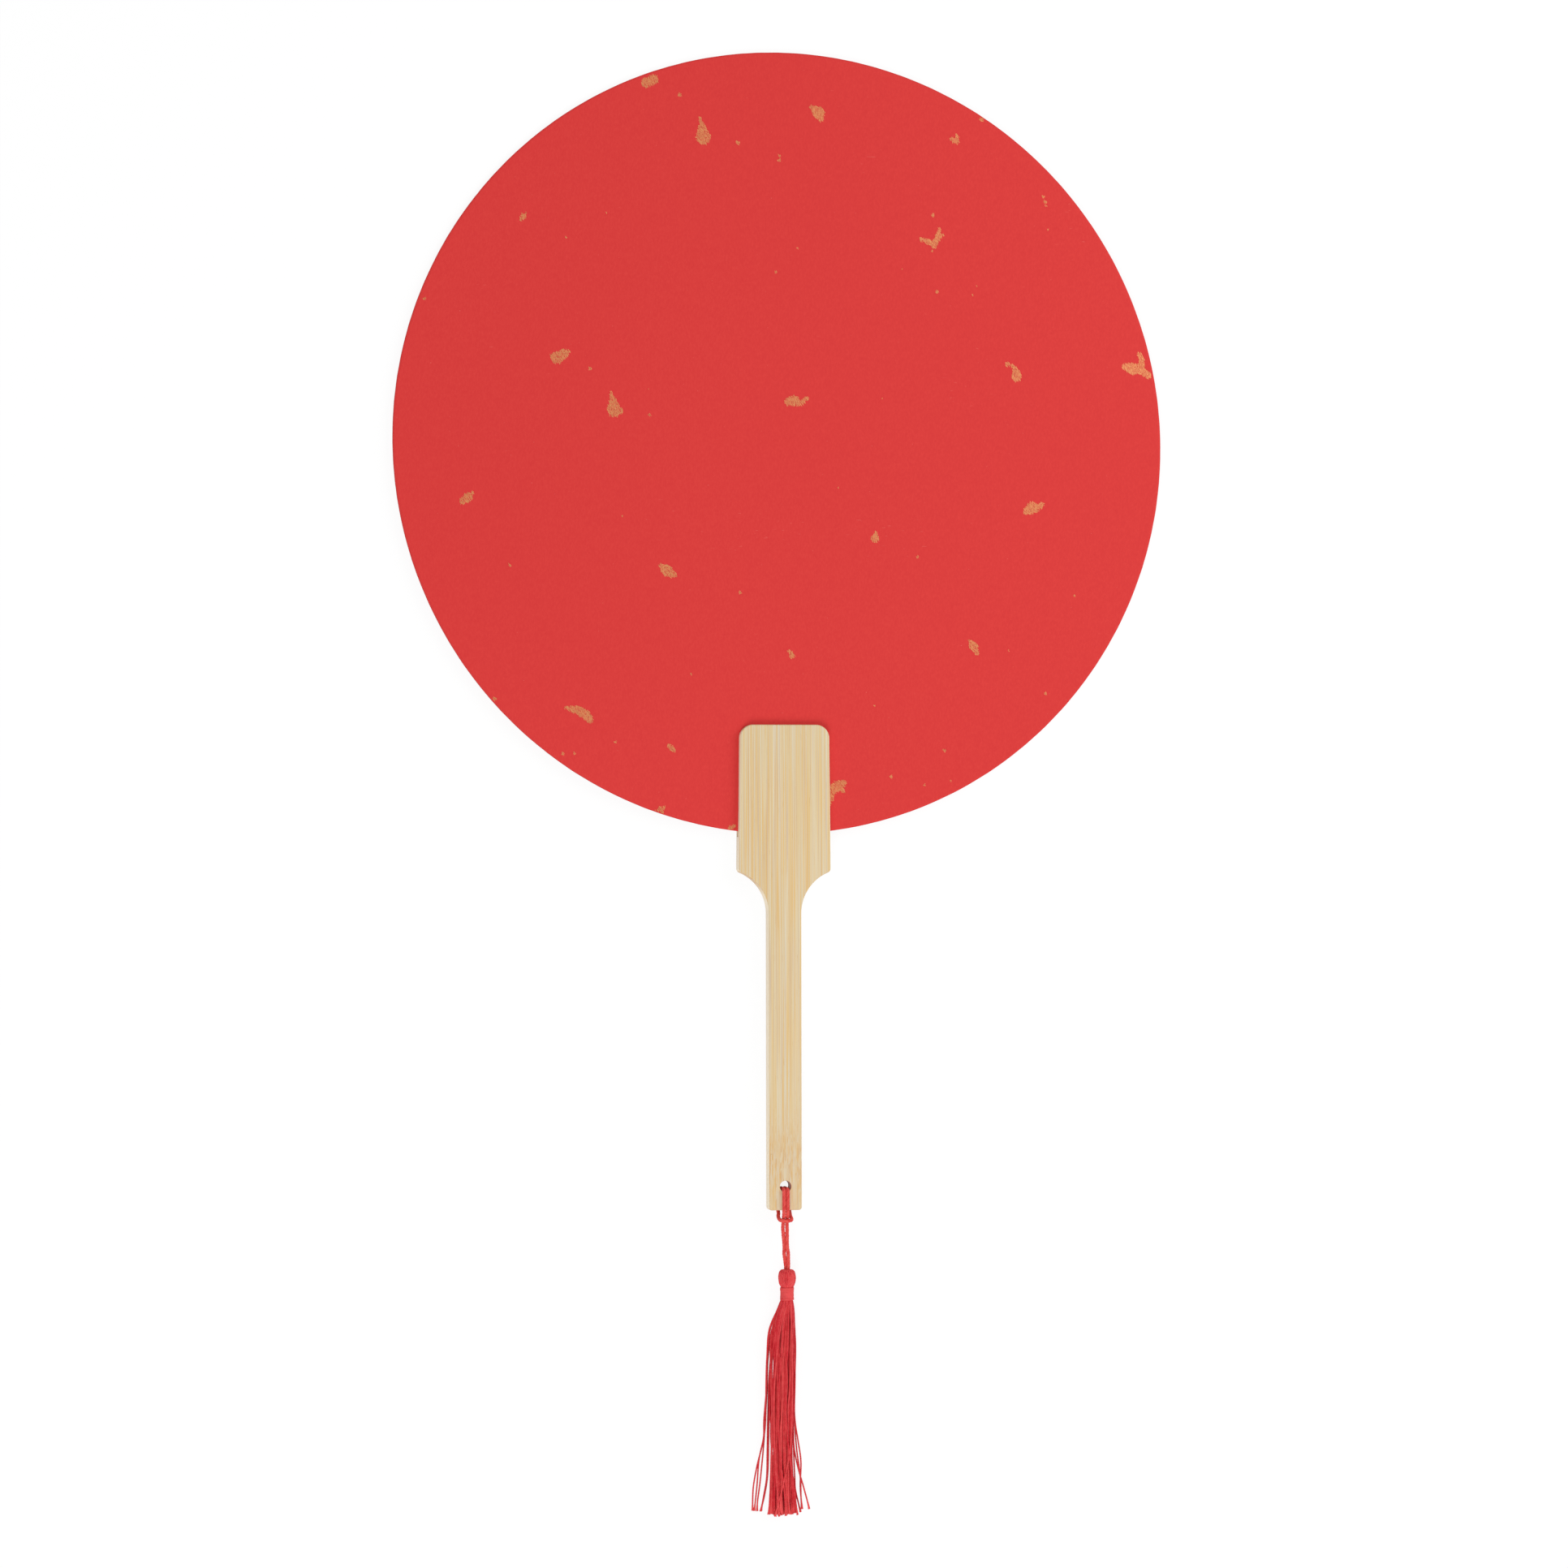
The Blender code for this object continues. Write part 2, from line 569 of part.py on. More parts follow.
def build_skirt(joint, finish):
    chance = random.Random(12)
    shape = bmesh.new()
    roots = bundle_slice(shape)
    slit = THREAD_SLIT_SHARE * THREAD_PITCH
    bmesh.ops.inset_individual(shape, faces=list(roots.values()), thickness=slit)
    for (column, row), face in roots.items():
        length = THREAD_LENGTH - chance.uniform(0.0, THREAD_RAGGED)
        draw_thread(shape, face, column, row, THREAD_PITCH - 2 * slit, length)
    add_object("tassel_skirt", mesh_from("tassel_skirt", shape), finish, joint)


def main():
    clear_scene()
    red_paper = material("red_paper", (0.70, 0.048, 0.050), 0.62)
    card = material("card_board", (0.62, 0.50, 0.36), 0.8)
    gold_leaf = material("gold_leaf", (0.66, 0.28, 0.09), 0.38, 0.85)
    bamboo = material("bamboo", (0.77, 0.62, 0.37), 0.5)
    red_cord = material("red_cord", (0.66, 0.030, 0.038), 0.75)
    red_thread = material("red_thread", (0.66, 0.030, 0.038), 0.7)

    base = fan_base()
    build_disc(base, card, red_paper)
    build_flakes(base, gold_leaf)
    build_handle(base, bamboo)

    knot_y = base.location.y + KNOT_Y * math.cos(TILT)
    knot = empty("cord_sway_axis", (0.0, knot_y, knot_height()))
    build_cord(base, red_cord, knot)
    lift = empty("tassel_lift_axis", tassel_joint_place(), (-math.pi / 2, 0.0, 0.0), knot)
    build_tassel_head(lift, red_thread, red_cord)
    neck_z = NECK_TOP_Z - JOINT_GAP - WRAP_LENGTH - DOME_SEAT
    neck = empty("skirt_swing_axis", (0.0, 0.0, neck_z), parent=lift)
    build_skirt(neck, red_thread)


main()
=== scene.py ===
"""Looks of the round paddle fan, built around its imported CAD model.

Units are metres in the model's own frame: X across the fan, +Y from the handle to the disc,
+Z up from the table. Disc, leaf and handle are built in the fan's own lie, whose origin is the
middle of the handle head's top edge on its back face, and are then tilted onto the table.
"""
import json
import random
from itertools import accumulate, product
from math import atan2, cos, degrees, dist, hypot, pi, radians, sin, sqrt, tau

import bmesh
import bpy
from mathutils import Matrix, Vector, noise
from mathutils.geometry import interpolate_bezier

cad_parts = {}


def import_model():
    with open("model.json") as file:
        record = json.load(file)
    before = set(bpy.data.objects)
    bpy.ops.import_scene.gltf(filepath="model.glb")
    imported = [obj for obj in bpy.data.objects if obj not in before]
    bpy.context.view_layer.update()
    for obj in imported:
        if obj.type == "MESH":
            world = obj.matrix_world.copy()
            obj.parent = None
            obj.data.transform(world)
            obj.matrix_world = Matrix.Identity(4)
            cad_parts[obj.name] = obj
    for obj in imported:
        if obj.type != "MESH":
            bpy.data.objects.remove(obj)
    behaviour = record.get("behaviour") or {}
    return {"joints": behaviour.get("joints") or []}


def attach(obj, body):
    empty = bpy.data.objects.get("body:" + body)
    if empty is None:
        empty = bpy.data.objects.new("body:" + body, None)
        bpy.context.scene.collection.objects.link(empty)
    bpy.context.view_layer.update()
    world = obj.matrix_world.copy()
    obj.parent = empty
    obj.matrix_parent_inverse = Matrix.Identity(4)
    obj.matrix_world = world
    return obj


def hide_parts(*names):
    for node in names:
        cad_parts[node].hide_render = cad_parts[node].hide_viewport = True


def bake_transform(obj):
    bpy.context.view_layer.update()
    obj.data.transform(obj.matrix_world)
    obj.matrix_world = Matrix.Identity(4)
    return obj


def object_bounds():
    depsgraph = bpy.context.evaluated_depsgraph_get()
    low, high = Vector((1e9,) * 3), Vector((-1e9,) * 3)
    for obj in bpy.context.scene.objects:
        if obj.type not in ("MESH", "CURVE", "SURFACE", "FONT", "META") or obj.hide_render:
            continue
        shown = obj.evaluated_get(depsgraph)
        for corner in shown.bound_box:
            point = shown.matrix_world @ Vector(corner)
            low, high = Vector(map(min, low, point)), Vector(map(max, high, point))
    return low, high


MM = 0.001

# Disc, as in the part's source
DISC_DIAMETER = 250 * MM
BOARD_THICKNESS = 1 * MM
PAPER_THICKNESS = 0.15 * MM
LEAF_THICKNESS = 0.02 * MM
GLUE_LINE = 0.03 * MM
DISC_IN_HANDLE = 34.9 * MM

# Cut edge of the disc's sheets
DISC_SIDES = 480
EDGE_BAND = 0.8 * MM
EDGE_ROUGHNESS = 0.05 * MM
EDGE_INSET = 0.03 * MM

# Handle, as in the part's source
HANDLE_LENGTH = 154.9 * MM
HANDLE_THICKNESS = 5.2 * MM
HEAD_TOP_WIDTH = 29.1 * MM
HEAD_BOTTOM_WIDTH = 29.9 * MM
HEAD_CORNER_RADIUS = 4.3 * MM
SHOULDER_RADIUS = 1.4 * MM
FLARE_RADIUS = 14.1 * MM
STICK_WIDTH = 10.7 * MM
STICK_LENGTH = 94.6 * MM
TAIL_CORNER_RADIUS = 1 * MM
EDGE_ROUNDING = 0.4 * MM
SLOT_PLAY = 0.06 * MM
SLOT_END_GAP = 0.9 * MM
HOLE_DIAMETER = 3.7 * MM
HOLE_FROM_TAIL = 7.6 * MM

# Cord, as in the part's source
CORD_DIAMETER = 1.1 * MM
CORD_CLEARANCE = 0.1 * MM
BIGHT_REACH = 3.35 * MM
BIGHT_LEFT = (1.4 * MM, 1.95 * MM)
BIGHT_RIGHT = (2.3 * MM, 2.1 * MM)
JOINT_GAP = 0.3 * MM
STRAND_DROP_AT_BIGHT = 1.2 * MM
STRAND_SAG = 0.35 * MM

# Tassel, as in the part's source
BALL_LENGTH = 5.5 * MM
WRAP_DIAMETER = 4.5 * MM
WRAP_LENGTH = 4.3 * MM
SKIRT_LENGTH = 69 * MM
THREAD_WIDTH = 0.5 * MM

# Twist and count of the threads
CORD_PLIES = 4
CORD_TWIST = 3.7 * MM
PLY_RADIUS = 0.35 * MM
PLY_REACH = 0.26 * MM
PLY_SIDES = 12
PLY_GROOVE_DEPTH = 0.13 * MM
PLY_STEP = 0.13 * MM
CORD_CUT = 2.2 * MM
BALL_THREADS = 58
BALL_UNDER_THREADS = 40
BALL_TUBE_RADIUS = 0.23 * MM
BALL_SWIRL = radians(9)
BALL_STEP = 0.16 * MM
CORE_INSET = 0.3 * MM
WRAP_TURNS = 20
WRAP_LOOSE_TURNS = 11
WRAP_TUBE_RADIUS = 0.145 * MM
WRAP_WAIST = 0.12 * MM
WRAP_TWIST = 1.2 * MM
WRAP_STEP = 0.2 * MM
SKIRT_THREADS = 118
SKIRT_WANDER = 0.55 * MM
SKIRT_HIDDEN_RADIUS = 1.4 * MM
SKIRT_HIDDEN_LENGTH = 1.6 * MM
SKIRT_TUFTS = 20
THREAD_TWIST = 1.75 * MM
THREAD_STEP = 0.3 * MM
THREAD_RAGGED = 1.6 * MM
YARN_FIBRE_RATE = 250
YARN_PHASE_SHIFT = 31
FRAY_FIBRES = 6
FRAY_LENGTH = 1.5 * MM
FRAY_RADIUS = 0.075 * MM
GOLDEN_TURN = pi * (3 - sqrt(5))

# Free strands, which press together on the way: share of the way from the hitch to the ball,
# mm out from the middle of the pair, and mm that the right one lies above and the left below
FREE_STRANDS = [
    (0, 0.66, 0), (0.08, 0.68, 0), (0.16, 0.6, 0.04), (0.225, 0.61, 0.06), (0.29, 0.52, 0.15),
    (0.4, 0.44, 0.26), (0.55, 0.45, 0.26), (0.62, 0.58, 0.12), (0.69, 0.66, 0.04), (0.77, 0.58, 0.1),
    (0.86, 0.48, 0.24), (0.94, 0.42, 0.34), (1, 0.34, 0.4),
]

# Outline of the ball from the cord's mouth to the neck: mm back from its top, radius in mm
BALL_OUTLINE = [
    (0.95, 0.72), (0.54, 0.95), (0.4, 1.35), (0.44, 1.85), (0.66, 2.22), (1.15, 2.55), (2, 2.76),
    (3, 2.8), (4.2, 2.66), (4.95, 2.42), (5.5, 2.14), (6.1, 1.95), (7, 1.9),
]

# Outline of the skirt seen from above: mm back from the neck's winding, left and right edge
# in mm from the fan's middle, and lowest and highest place of a thread's centre
SKIRT_OUTLINE = [
    (-1.6, -0.45, 2.85, 1.15, 4.45), (-0.4, -0.5, 2.9, 1.1, 4.5), (0.5, -0.95, 3.12, 0.8, 4.72),
    (2, -1.55, 3.4, 0.55, 4.95), (4, -2.45, 3.62, 0.4, 5.1), (7.3, -3.3, 3.8, 0.3, 5.15),
    (11.6, -3.95, 3.92, 0.28, 5.05), (17, -4.25, 4, 0.28, 4.95), (22.4, -4.3, 3.95, 0.28, 4.85),
    (30, -4.25, 3.65, 0.28, 4.7), (39, -4.1, 3.2, 0.28, 4.55), (49, -3.95, 3.25, 0.28, 4.4),
    (59, -4.05, 3.95, 0.28, 4.2), (66, -4.6, 4.5, 0.28, 4), (69, -4.85, 4.7, 0.28, 3.9),
]

# Stray threads of the skirt. Each is a list of places: mm back from the skirt's end, mm
# across from the fan's middle, and mm above the table.
STRAYS = [
    [(68, -1, 3), (60, -4.6, 3.1), (51, -5.3, 2.6), (43, -5.5, 2.2), (30, -5.6, 1.7), (23, -6.5, 1.2),
     (16, -8.2, 0.9), (9, -9.4, 0.7), (1.7, -9.6, 0.5)],
    [(68, -0.9, 2.2), (60, -4.1, 2.2), (51, -5, 1.9), (43, -5.1, 1.6), (31, -6, 1.2), (25, -6.1, 0.9),
     (18, -7.5, 0.6), (10, -8.1, 0.4), (1.6, -9, 0.4)],
    [(68, -0.7, 1.6), (59, -3.6, 1.4), (50, -4.7, 1.1), (40, -5, 0.9), (30, -5.5, 0.6), (21, -6.1, 0.4),
     (11, -7.2, 0.9), (5, -8, 0.9), (1.6, -8.2, 0.9)],
    [(68, -0.2, 1), (58, -2.8, 0.8), (45, -4.2, 0.6), (31, -4.6, 0.4), (20, -4.8, 0.4), (12, -5, 0.4),
     (6, -6, 0.4), (1.6, -6.8, 0.4)],
    [(68, 0, 0.9), (55, -2.6, 0.6), (40, -3.9, 0.4), (26, -4.3, 0.4), (14, -4.7, 0.9), (7, -5.7, 1),
     (1.5, -7.1, 1)],
    [(68, 2.9, 1.4), (58, 3.6, 0.8), (44, 3.6, 0.5), (31, 3.6, 0.4), (22, 3.9, 0.5), (15, 5.2, 0.9),
     (9, 6.9, 1), (4, 8.3, 0.8), (1.7, 8.9, 0.5)],
    [(68, 2.9, 1), (56, 3.8, 0.5), (42, 3.8, 0.4), (31, 4.2, 0.4), (24, 5.2, 0.4), (17, 6.2, 0.4),
     (9, 6, 0.4), (1.8, 6.6, 0.4)],
    [(68, 2.7, 2), (56, 4.2, 1.3), (42, 4.1, 0.8), (31, 4.1, 0.5), (21, 4.8, 0.5), (12, 5.9, 0.9),
     (6, 6.1, 1), (1.8, 6.4, 0.9)],
    [(68, 2.4, 1), (50, 3.6, 0.6), (30, 3.5, 0.5), (16, 3.2, 0.5), (8, 4.4, 0.5), (4, 5.3, 0.4),
     (0.7, 6.1, 0.4)],
    [(68, 1.9, 4.6), (58, 2.3, 5.2), (45, 2.5, 5.1), (30, 2.3, 4.9), (20, 1.6, 4.7), (10, -0.5, 4.6),
     (4, -2, 4.3), (0.2, -2.9, 4.1)],
    [(68, 0.6, 4.8), (58, -0.6, 5.3), (44, -1.7, 5.1), (30, -2, 4.9), (18, -1.2, 4.8), (10, -0.2, 4.5),
     (4, 0.4, 4.3), (0.3, 0.6, 4.1)],
    [(68, 1.4, 4.9), (57, 1, 5.4), (40, 0.3, 5.2), (26, 0.9, 5), (14, 2.4, 4.6), (6, 3.6, 4),
     (0.4, 4.5, 3.4)],
    [(68, 0.1, 4.5), (57, -1.9, 5), (42, -3.2, 4.6), (28, -3.3, 4.5), (14, -2.6, 4.5), (6, -2, 4.3),
     (0.2, -1.6, 4.1)],
]

# Gold leaf of the front: the flake's place in disc radii from the centre, then the chains of
# beads that make its shape, each bead with its place and radius in mm
LEAF_SHAPES = [
    (-0.344, 0.915, [[(-1.3, -0.5, 1.5), (1.3, 0.8, 1.4)]]),
    (-0.206, 0.79, [[(-1.1, 4.6, 0.25), (-0.5, 2.2, 0.9), (0, -1.4, 2.5)]]),
    (0.093, 0.846, [[(-2.2, 2, 0.6), (0, 0.4, 2), (0.9, -1.7, 0.9)]]),
    (0.453, 0.791, [[(-1, -0.1, 0.75), (0.5, -0.7, 0.85), (0.8, 1.1, 0.45)]]),
    (0.394, 0.534, [[(-3.8, -0.5, 0.6), (-1.6, -1.2, 0.8), (0.3, -2.2, 0.9), (1.6, 0.3, 1),
     (2.3, 3, 0.4)], [(1.8, 0.6, 0.8), (3.4, 1, 0.4)]]),
    (-0.67, 0.562, [[(-0.6, -0.8, 0.55), (0.3, 0.3, 0.75), (0.9, 1, 0.35)]]),
    (-0.575, 0.212, [[(-1.2, -0.6, 1.9), (1.6, 0.9, 1.3), (2.8, 1.5, 0.4)]]),
    (-0.436, 0.091, [[(-1.3, 4.1, 0.3), (-0.4, 1.4, 1), (-0.2, -1.7, 2.2), (1.7, -1.9, 1)]]),
    (0.033, 0.11, [[(-2.4, -0.5, 1.2), (-0.6, -0.1, 1.6), (1.2, -1, 0.75), (2.6, -0.3, 0.6),
     (3.8, 0.8, 0.4)]]),
    (0.607, 0.193, [[(-2.2, 2.4, 0.7), (-0.8, 2.2, 0.35), (0.7, 1.1, 0.75), (1, -1.5, 1.7),
     (0.6, -2.8, 0.45)]]),
    (0.936, 0.215, [[(-3.7, -0.5, 1.25), (-1.2, -1.1, 1.85), (1.1, -1.4, 1.2), (3.8, -3, 1.1)],
     [(1.2, -1.2, 1.1), (1.9, 1.6, 0.95), (1.1, 3.6, 0.7)]]),
    (-0.523, -0.694, [[(-5, 1.9, 0.45), (-2.8, 1.5, 0.9), (-0.6, 0.9, 1.4), (1.4, -0.2, 1.4),
     (2.6, -1.4, 1.4), (3, -2.5, 0.7)]]),
    (-0.29, -0.781, [[(-0.9, 0.9, 0.5), (0, 0, 0.9), (0.9, -0.9, 0.5)]]),
    (-0.319, -0.938, [[(-1.3, -0.2, 0.3), (0, 0, 0.8), (1.3, 0.8, 0.3)], [(-0.4, 1.3, 0.25),
     (0.1, -0.1, 0.7), (0.8, -1, 0.45)]]),
    (0.141, -0.894, [[(2.1, 3.1, 0.75), (1.1, 2.5, 1.35), (-0.6, 1.8, 1.6), (-2, 0.8, 1.5),
     (-2.4, -1.5, 1.1), (-2.6, -3.4, 0.6), (-2.5, -4.4, 0.25)], [(0.9, 1.6, 1.1), (1.9, 0, 0.45)]]),
    (-0.812, -0.15, [[(-1.6, -1.2, 0.9), (0.2, 0.1, 1.4), (1.6, 1.4, 0.5)]]),
    (-0.3, -0.33, [[(-2.4, 1.6, 0.6), (-0.4, 0.2, 1.8), (2, -1.3, 1)]]),
    (0.24, -0.24, [[(0.3, 1.6, 0.4), (0, -0.3, 1.3)]]),
    (0.66, -0.16, [[(-2.6, -1, 1), (-0.4, 0.2, 1.9), (1.8, 0.4, 1), (3, 1.6, 0.5)]]),
    (0.5, -0.52, [[(-1.2, 2, 0.5), (-0.1, 0.2, 1.5), (0.9, -1.6, 0.8)]]),
    (0.02, -0.54, [[(-0.6, 0.9, 0.5), (0.3, -0.4, 0.9)]]),
]

# Flecks of leaf of the front: place from the disc's centre and size, in mm
FLECKS = [
    (-33.4, 110.5, 1.5), (-14.6, 95.7, 1.5), (-1.2, 90.4, 1.2), (-1, 91.9, 1), (65.5, 105.4, 1.6),
    (85.9, 81, 1), (86.5, 79.4, 1.2), (86.7, 78.2, 0.9), (87.5, 70.4, 0.7), (49.3, 74.2, 1.5),
    (48.9, 62.6, 0.8), (50.6, 49.4, 1.2), (63.8, 51.5, 0.6), (62.3, 48.6, 0.6), (-70, 64.1, 0.7),
    (-57, 72.3, 0.5), (4.8, 62.4, 0.6), (-2.3, 54.7, 1), (-115, 43.7, 1), (-62.3, 22.7, 1.3),
    (-43.6, 16.5, 0.5), (-43.2, 8.4, 1.2), (32.3, 14.8, 0.6), (39.1, 56.6, 0.5), (-93, -82, 1.5),
    (-54.5, -95.8, 1.1), (-71.2, -99.5, 1.2), (-67.4, -99.4, 1), (-17.8, -123.4, 1.3),
    (-17, -122.9, 1.6), (-16.1, -122.5, 1.2), (35.1, -106.7, 1.2), (29.7, -83.9, 0.6),
    (52.7, -98.3, 1.2), (46.1, -109.4, 0.9), (54.6, -108.1, 0.6), (86.2, -79.7, 1.2), (-88, -40, 1),
    (-52, -24, 0.7), (-14, -48, 1.3), (18, -14, 0.6), (44, -36, 1.1), (96, -48, 0.9), (74, -66, 0.6),
    (-30, -74, 0.8),
]

# Slivers that the leaf is made of, in mm
STROKE_STEPS = 4
STROKE_LENGTHS = (0.55, 1.05)
STROKE_WIDTHS = (0.18, 0.26)
STROKE_ROW = 0.27
STROKE_GAP = 0.5
BACK_FLAKES = 15

# Lamps that look at the fan's middle, with their place in metres and power in watts, then sky,
# floor and camera
LAMPS = {"key": ((-0.47, -1, 1), 9.2), "fill": ((0.73, 0.32, 0.59), 4.7)}
LAMP_SIZE = 0.9
SKY_LIGHT = 0.48
FLOOR_HALF_WIDTH = 4
FLOOR_DROP = 0.1 * MM
CAMERA_LEAN = radians(11)
CAMERA_LENS = 100
CAMERA_MARGIN = 1.07

# Sizes that follow from the ones above
DISC_RADIUS = DISC_DIAMETER / 2
LAMINATE = BOARD_THICKNESS + 2 * (GLUE_LINE + PAPER_THICKNESS)
SLOT_THICKNESS = LAMINATE + 2 * (GLUE_LINE + LEAF_THICKNESS + SLOT_PLAY)
DISC_MIDDLE = HANDLE_THICKNESS / 2
RIM_HEIGHT = DISC_MIDDLE - LAMINATE / 2
RIM_REACH = DISC_DIAMETER - DISC_IN_HANDLE
DISC_CENTRE_Y = RIM_REACH - DISC_RADIUS
TILT = atan2(RIM_HEIGHT, RIM_REACH)
TAIL_Y = -HANDLE_LENGTH
HOLE_Y = HOLE_FROM_TAIL - HANDLE_LENGTH
CORD_RADIUS = CORD_DIAMETER / 2
STRAND_OFFSET = (CORD_DIAMETER + CORD_CLEARANCE) / 2
PAIR_HALF_WIDTH = STRAND_OFFSET + CORD_RADIUS
FRONT_CORD_Z = HANDLE_THICKNESS + CORD_CLEARANCE + CORD_RADIUS
BACK_CORD_Z = -CORD_CLEARANCE - CORD_RADIUS
KNOT_Y = TAIL_Y - BIGHT_REACH - CORD_RADIUS - PAIR_HALF_WIDTH - JOINT_GAP
BALL_TOP = CORD_RADIUS + JOINT_GAP
WRAP_TOP = BALL_TOP + BALL_LENGTH + JOINT_GAP
WRAP_END = WRAP_TOP + WRAP_LENGTH
SKIRT_END = WRAP_END + SKIRT_LENGTH


def fan_lie():
    """How the fan lies on the table: tilted a little, so that its far rim touches down."""
    far_end = RIM_REACH * cos(TILT) + (RIM_HEIGHT + LAMINATE) * sin(TILT)
    near_end = TAIL_Y * cos(TILT)
    lie = Matrix.Translation((0, -(far_end + near_end) / 2, 0))
    return lie @ Matrix.Rotation(-TILT, 4, "X")


def colour(*rgb):
    """A colour as 0 to 255 on a screen, turned into the linear values that nodes use."""
    shares = [part / 255 for part in rgb]
    linear = [share / 12.92 if share <= 0.04045 else ((share + 0.055) / 1.055) ** 2.4 for share in shares]
    return (*linear, 1)


def feed(socket, value):
    """Links another node's output to a socket, or sets the socket to a plain value."""
    if isinstance(value, bpy.types.NodeSocket):
        socket.id_data.links.new(value, socket)
    else:
        socket.default_value = value


def add_node(tree, kind, inputs, **settings):
    """Adds a shader node with its inputs fed, and returns its outputs."""
    made = tree.nodes.new("ShaderNode" + kind)
    for setting, value in settings.items():
        setattr(made, setting, value)
    for key, value in inputs.items():
        feed(made.inputs[key], value)
    return made.outputs


class Finish:
    """A Principled material whose procedural nodes are added a line at a time.

    Its tone starts as one colour, over which others are laid.
    """

    def __init__(self, name, rgb, roughness, metallic=0, specular=0.5):
        self.material = bpy.data.materials.new(name)
        self.material.use_nodes = True
        self.tree = self.material.node_tree
        self.tone = colour(*rgb)
        self.set("Roughness", roughness)
        self.set("Metallic", metallic)
        self.set("Specular IOR Level", specular)

    def set(self, socket, value):
        feed(self.tree.nodes["Principled BSDF"].inputs[socket], value)

    def node(self, kind, inputs, **settings):
        return add_node(self.tree, kind, inputs, **settings)

    def place(self, scale=(1, 1, 1), offset=(0, 0, 0)):
        """The surface point in the piece's own metres, stretched by scale."""
        point = self.node("TexCoord", {})["Object"]
        return self.node("Mapping", {"Vector": point, "Location": offset, "Scale": scale})["Vector"]

    def noise(self, scale, stretch=(1, 1, 1), offset=(0, 0, 0), detail=2, rough=0.5, point=None):
        inputs = {"Vector": point or self.place(stretch, offset), "Scale": scale, "Detail": detail,
                  "Roughness": rough}
        return self.node("TexNoise", inputs)["Fac"]

    def attribute(self, name, socket="Fac"):
        return self.node("Attribute", {}, attribute_name=name)[socket]

    def spread(self, value, low, high, start=0, end=1):
        """Maps low..high smoothly onto start..end and holds it there outside."""
        inputs = {"Value": value, "From Min": low, "From Max": high, "To Min": start, "To Max": end}
        return self.node("MapRange", inputs, interpolation_type="SMOOTHSTEP")["Result"]

    def maths(self, operation, first, second=0):
        return self.node("Math", {0: first, 1: second}, operation=operation)["Value"]

    def times(self, first, second):
        return self.maths("MULTIPLY", first, second)

    def mix(self, share, first, second):
        inputs = {"Factor": share, "A": first, "B": second}
        return self.node("Mix", inputs, data_type="RGBA")["Result"]

    def axes(self, vector):
        return self.node("SeparateXYZ", {"Vector": vector})

    def wash(self, share, *rgb):
        """Lays a colour over the tone so far, as strongly as the share says."""
        self.tone = self.mix(share, self.tone, colour(*rgb))

    def coat(self, value, low, high, most, *rgb):
        """Lays a colour over the tone so far: none where the value is low, most where it is high."""
        self.wash(self.spread(value, low, high, 0, most), *rgb)

    def done(self, height, depth, strength=1):
        """The material, with its tone and its bump set."""
        self.set("Base Color", self.tone)
        bump = {"Height": height, "Distance": depth, "Strength": strength}
        self.set("Normal", self.node("Bump", bump)["Normal"])
        return self.material


def red_paper():
    look = Finish("red_paper", (219, 57, 56), roughness=0.7, specular=0.14)
    fibre = look.noise(1900, (1, 0.45, 1), detail=3, rough=0.65)
    look.coat(look.noise(320, detail=4, rough=0.6), 0.3, 0.7, 1, 221, 59, 57)
    look.coat(fibre, 0.35, 0.75, 0.7, 227, 68, 64)
    look.coat(look.noise(9, detail=1), 0.3, 0.7, 0.1, 212, 52, 53)
    look.coat(look.noise(1500, offset=(3.1, 0, 0), detail=1), 0.785, 0.81, 0.4, 238, 132, 120)
    lint = look.noise(1700, (0.25, 1, 1), (0, 5, 0), detail=1)
    where = look.noise(25, offset=(0, 2, 7))
    scuff = look.times(look.spread(lint, 0.73, 0.77), look.spread(where, 0.58, 0.68, 0, 0.3))
    look.wash(scuff, 238, 118, 108)
    look.set("Roughness", look.spread(fibre, 0.3, 0.7, 0.62, 0.76))
    return look.done(fibre, 0.02 * MM, 0.7)


def board_edge():
    """Card whose cut edge took up the colour of the paper's glue and dye."""
    look = Finish("board_edge", (186, 58, 54), roughness=0.8, specular=0.2)
    ply = look.noise(4200, (0.2, 0.2, 1))
    look.coat(ply, 0.35, 0.65, 1, 204, 78, 70)
    look.coat(look.noise(160, detail=3), 0.55, 0.75, 0.5, 214, 120, 100)
    return look.done(ply, 0.05 * MM)


def gold_leaf():
    look = Finish("gold_leaf", (218, 116, 78), roughness=0.42, metallic=0.55)
    grain = look.noise(3800)
    look.coat(look.attribute("tone"), 0, 1, 1, 244, 170, 106)
    look.coat(grain, 0.35, 0.7, 1, 232, 142, 94)
    look.set("Roughness", look.spread(grain, 0.3, 0.7, 0.34, 0.56))
    return look.done(grain, 0.012 * MM)


